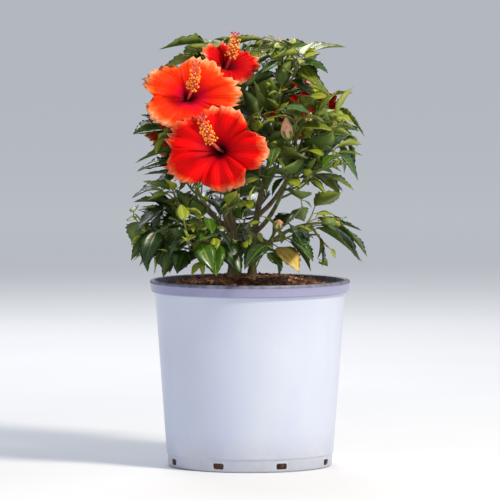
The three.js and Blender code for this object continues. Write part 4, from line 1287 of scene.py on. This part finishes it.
def petal_grid(flower, petal, pick):
    """The points of one petal, row by row from the funnel's foot to the frilled edge, and their UV places."""
    rows, columns = np.meshgrid(
        np.linspace(0, 1, PETAL_ROWS + 1), np.linspace(-1, 1, PETAL_COLUMNS + 1), indexing="ij")
    waves, phase = pick.uniform(2.2, 3.4), pick.uniform(0, 6.28)
    fine_phase, curl, lean = pick.uniform(0, 6.28), pick.uniform(0.0, 0.3), pick.uniform(-0.08, 0.08)
    share = 0.04 + 0.96 * rows * (1 - 0.14 * columns ** 4)
    side = columns * np.interp(share, *PETAL_OUTLINE)
    turn = (petal + lean + side * PETAL_SPREAD * (1 - 0.25 * share)) * 2 * math.pi / PETALS
    frill = share ** 3 * np.sin(columns * waves * math.pi + phase)
    fine = np.clip(share - FINE_FRILL_FROM, 0, 1) * np.sin(columns * 9 * math.pi + fine_phase)
    radius = 0.98 * flower.radius * (0.02 + 0.98 * share ** 1.5 * (1 - 0.1 * side * side)) * (1 + 0.13 * fine)
    rise = flower.depth * (1 - (1 - share) ** 1.8) - flower.depth * (0.12 + curl) * share ** 4
    ruffle = FRILL * frill * (0.4 + 0.6 * np.abs(columns)) + FINE_FRILL * fine
    rise += 2.5 * side * share + flower.radius * ruffle
    spokes = np.cos(turn)[..., None] * flower.right + FLOWER_HEIGHT * np.sin(turn)[..., None] * flower.up
    points = flower.foot + radius[..., None] * spokes + rise[..., None] * flower.facing
    return points.reshape(-1, 3), np.stack([(columns + 1) / 2, share], -1).reshape(-1, 2)


def petal_sheet(name, grids, finish):
    """One mesh of several petal grids with their UV map."""
    faces, places, wide = [], [], PETAL_COLUMNS + 1
    for _, uv in grids:
        corners = [len(places) + r * wide + c for r in range(PETAL_ROWS) for c in range(PETAL_COLUMNS)]
        faces += [(corner, corner + 1, corner + wide + 1, corner + wide) for corner in corners]
        places.extend(uv)
    shape = make_object(name, np.vstack([points for points, _ in grids]), faces, [finish])
    layer = shape.data.uv_layers.new(name="PetalMap")
    for loop in shape.data.loops:
        layer.data[loop.index].uv = places[loop.vertex_index]
    thick = shape.modifiers.new("thickness", "SOLIDIFY")
    thick.thickness = PETAL_THICKNESS_MM * MM
    thick.offset = 0
    applied(shape).data.shade_smooth()
    return shape


# %% [markdown]
# ## Calyx, column and stamens
# Behind the petals a green cup of five pointed sepals holds the bloom. From the eye rises the column, a slim tube
# that bends upwards, set with some sixty short filaments that each end in a yellow anther, and five round red pads
# at its tip. Filaments and anthers are one small mesh that a geometry tree sets along the column.

# %% Flower part finishes
sepal_green = mottled("hibiscus calyx", 0.5, (6, 3), [(0.3, "4F6B2A"), (0.7, "7A8E40")], (0.2, (1.2, 3)))
column_red = mottled("staminal column", 0.45, (5, 2), [(0.3, "D8324A"), (0.7, "F0806A")])
anther_gold = mottled("pollen-dusted anther", 0.9, (1.5, 3), [(0.35, "F08A1A"), (0.65, "FFC040")])
pad_red = mottled("velvety stigma pad", 0.8, (1, 2), [(0.3, "A01020"), (0.7, "D8303A")], **{"Sheen Weight": 0.4})
bud_tip = mottled("furled petal", 0.5, (5, 3), [(0.3, "CC8058"), (0.7, "E8BE94")])


# %% Stamen tree
def ball(shell, centre, radius, squash=1.0):
    for corner in bmesh.ops.create_icosphere(shell, subdivisions=1, radius=radius)["verts"]:
        corner.co.x *= squash
        corner.co += Vector(centre)


def stamen_mesh():
    """A filament one unit long along X with a pollen bead at its end."""
    shell = bmesh.new()
    bead = shell.faces.layers.bool.new("bead")
    rings = [[shell.verts.new((x, radius * math.cos(k * 2.094), radius * math.sin(k * 2.094))) for k in range(3)]
             for x, radius in [(0, 0.07), (0.5, 0.05), (0.92, 0.045)]]
    for low, high in zip(rings, rings[1:]):
        for k in range(3):
            shell.faces.new((low[k], low[(k + 1) % 3], high[(k + 1) % 3], high[k]))
    shell.faces.new(rings[0][::-1])
    shell.faces.new(rings[-1])
    filament = set(shell.faces)
    ball(shell, (1.0, 0, 0), 0.24, 0.7)
    for face in shell.faces:
        face[bead] = face not in filament
        face.smooth = True
    bmesh.ops.recalc_face_normals(shell, faces=shell.faces)
    return loose_object("stamen", shell)


stamen_box = shape_box("stamen_shape", [stamen_mesh()])
stamening, given = new_tree("set_stamens", Shapes="Collection", Filament="Material", Anther="Material")
end_tree(stamening, set_along(stamening, given), given["Filament"], "bead", given["Anther"])

# %% Flowers
COLUMN_LENGTH, COLUMN_RISE = 0.62, 0.34
COLUMN_RADIUS, COLUMN_TIP_RADIUS = 2.3, 1.3
STAMENS = 64
STALK_RADIUS = 1.7
STYLES = 5
SEPALS = 5
# Each kind: spoke and facing parts of the tip and of the bend, and the half widths along it
SEPAL = ((18, 16), (11.5, 4), [3.4, 3.8, 3.2, 2.0, 0.4])
BRACT = ((15, 1), (10, -3), [1.6, 1.5, 1.2, 0.8, 0.3])
column_lines, style_lines, flower_stalks, sepal_lines = [], [], [], []
stamen_roots, stamen_ways, stamen_lengths, pad_places = [], [], [], []

for number, flower in enumerate(flowers):
    pick = random.Random(300 + number)
    facing, foot = flower.facing, flower.foot
    grids = [petal_grid(flower, petal, pick) for petal in range(PETALS)]
    petals = petal_sheet(f"petals_{number + 1}", grids, PETAL_FINISHES[number])
    finish_piece(petals, nodes=[flower.shoot])
    # Stalk, thicker under the bloom
    root = next(mass for mass in masses if mass.name == flower.shoot).curve.at(flower.share)
    stalk = Curve(root, foot - facing * np.linalg.norm(root - foot) * 0.4, foot)
    flower_stalks.append(tapered(stalk, STALK_RADIUS, STALK_RADIUS * 1.25, 12))
    # Sepals hug the funnel, bracts stand out under them
    for k in range(SEPALS * 2):
        spoke = swung(flower.right, flower.up, FULL_TURN * (k + 0.5) / (SEPALS * 2))
        start = foot - facing * 3 + spoke * 1.5
        (tip_out, tip_up), (bend_out, bend_up), widths = BRACT if k % 2 else SEPAL
        tip = foot + (spoke * tip_out + facing * tip_up)
        bend = foot + (spoke * bend_out + facing * bend_up)
        sepal_lines.append((Curve(start, bend, tip).line(4), np.array(widths)))
    # Column with its filaments
    reach = flower.radius * 2 * COLUMN_LENGTH
    end = foot + facing * reach * 0.97 + flower.up * reach * COLUMN_RISE
    column = Curve(foot, foot + facing * reach * 0.6, end)
    column_lines.append(tapered(column, COLUMN_RADIUS, COLUMN_TIP_RADIUS, 16))
    for k in range(STAMENS):
        root, tangent, side, other = column.frame(0.5 + 0.47 * (k + 0.5) / STAMENS)
        stamen_roots.append(root)
        stamen_ways.append(unit(swung(side, other, k * GOLDEN_ANGLE) + tangent * pick.uniform(-0.1, 0.5)))
        stamen_lengths.append(pick.uniform(5.5, 8.5))
    root, tangent, side, other = column.frame(1)
    for k in range(STYLES):
        way = swung(side, other, FULL_TURN * k / STYLES)
        tip = root + tangent * 6 + way * 5
        style_lines.append(tapered(Curve(root, root + tangent * 4 + way, tip), 0.6, 0.45, 4))
        pad_places.append(tip)

sweep_lines("flower_stalks", flower_stalks, green_wood, 10)
sweep_lines("sepals_and_bracts", sepal_lines, sepal_green, 8)
sweep_lines("columns_and_styles", column_lines + style_lines, column_red, 9)
stamens = make_object("stamens", stamen_roots)
set_values(stamens, along=stamen_ways, length=np.array(stamen_lengths) * MM)
finish_piece(run_tree(stamens, stamening, Shapes=stamen_box, Filament=column_red, Anther=anther_gold))
shell = bmesh.new()
for place in pad_places:
    ball(shell, place * MM, 1.6 * MM)
pads = loose_object("stigma_pads", shell)
scene.collection.objects.link(pads)
pads.data.materials.append(pad_red)
pads.data.shade_smooth()
finish_piece(pads)

# %% [markdown]
# ## Buds
# A shoot that has no open flower ends in a fat bud: a ribbed green calyx that holds the furled petals, whose
# peach-red tip shows when it is near to opening. A bud is rings of points round its axis, with five ribs that
# twist a little towards the tip.

# %% Buds
BUD_LENGTH, BUD_RADIUS = 26, 7
SEEN_BUD_LENGTH, SEEN_BUD_RADIUS = 33, 7.8
BUD_SIDES = 20
BUD_RIBS, RIB_HEIGHT = 5, 0.09
BUD_TWIST = 1.1
BUD_PROFILE = [  # share of the length, share of the radius
    (0, 0.0), (0.06, 0.42), (0.18, 0.78), (0.32, 0.97), (0.46, 1.0), (0.6, 0.9), (0.72, 0.72), (0.82, 0.5),
    (0.9, 0.32), (0.96, 0.17), (1.0, 0.0)]


def bud_points(root, way, length, radius, turn):
    side, other = across_of(way)
    points = []
    for share, girth in BUD_PROFILE:
        for k in range(BUD_SIDES if girth else 1):
            angle = FULL_TURN * k / BUD_SIDES
            rib = 1 + RIB_HEIGHT * math.cos(BUD_RIBS * angle) * (1 - share)
            spoke = swung(side, other, angle + turn + share * BUD_TWIST)
            points.append(root + way * length * share + spoke * radius * girth * rib)
    return points


flowering = {flower.shoot for flower in flowers if flower.share == 1}
bud_places = [(mass.curve.at(1) - mass.curve.tangent(1) * 1.5, mass.curve.tangent(1), BUD_LENGTH, BUD_RADIUS)
              for mass in masses if mass.name not in flowering]
bud_places.append((bud_foot - UP, unit(bud_twig.tangent(1) * 0.4 + UP), SEEN_BUD_LENGTH, SEEN_BUD_RADIUS))
all_points, faces, is_open = [], [], []
_, one_bud_faces = turned([(girth, 0) for _, girth in BUD_PROFILE], BUD_SIDES)
for k, place in enumerate(bud_places):
    faces += [[len(all_points) + corner for corner in face] for face in one_bud_faces]
    all_points += bud_points(*place, k * GOLDEN_ANGLE)
    # Furled petals show above the sepals, whose five points stand two rows higher than the gaps between them
    opening = 2 if k == len(bud_places) - 1 else 5 if k % 2 else 7
    is_open += [n // BUD_SIDES >= opening + (2 if n % 4 in (1, 2) else 0) for n in range(len(one_bud_faces))]
buds = make_object("flower_buds", all_points, faces, [sepal_green, bud_tip])
buds.data.polygons.foreach_set("material_index", np.array(is_open, np.int32))
buds.data.shade_smooth()
finish_piece(buds)
print("buds:", len(bud_places))
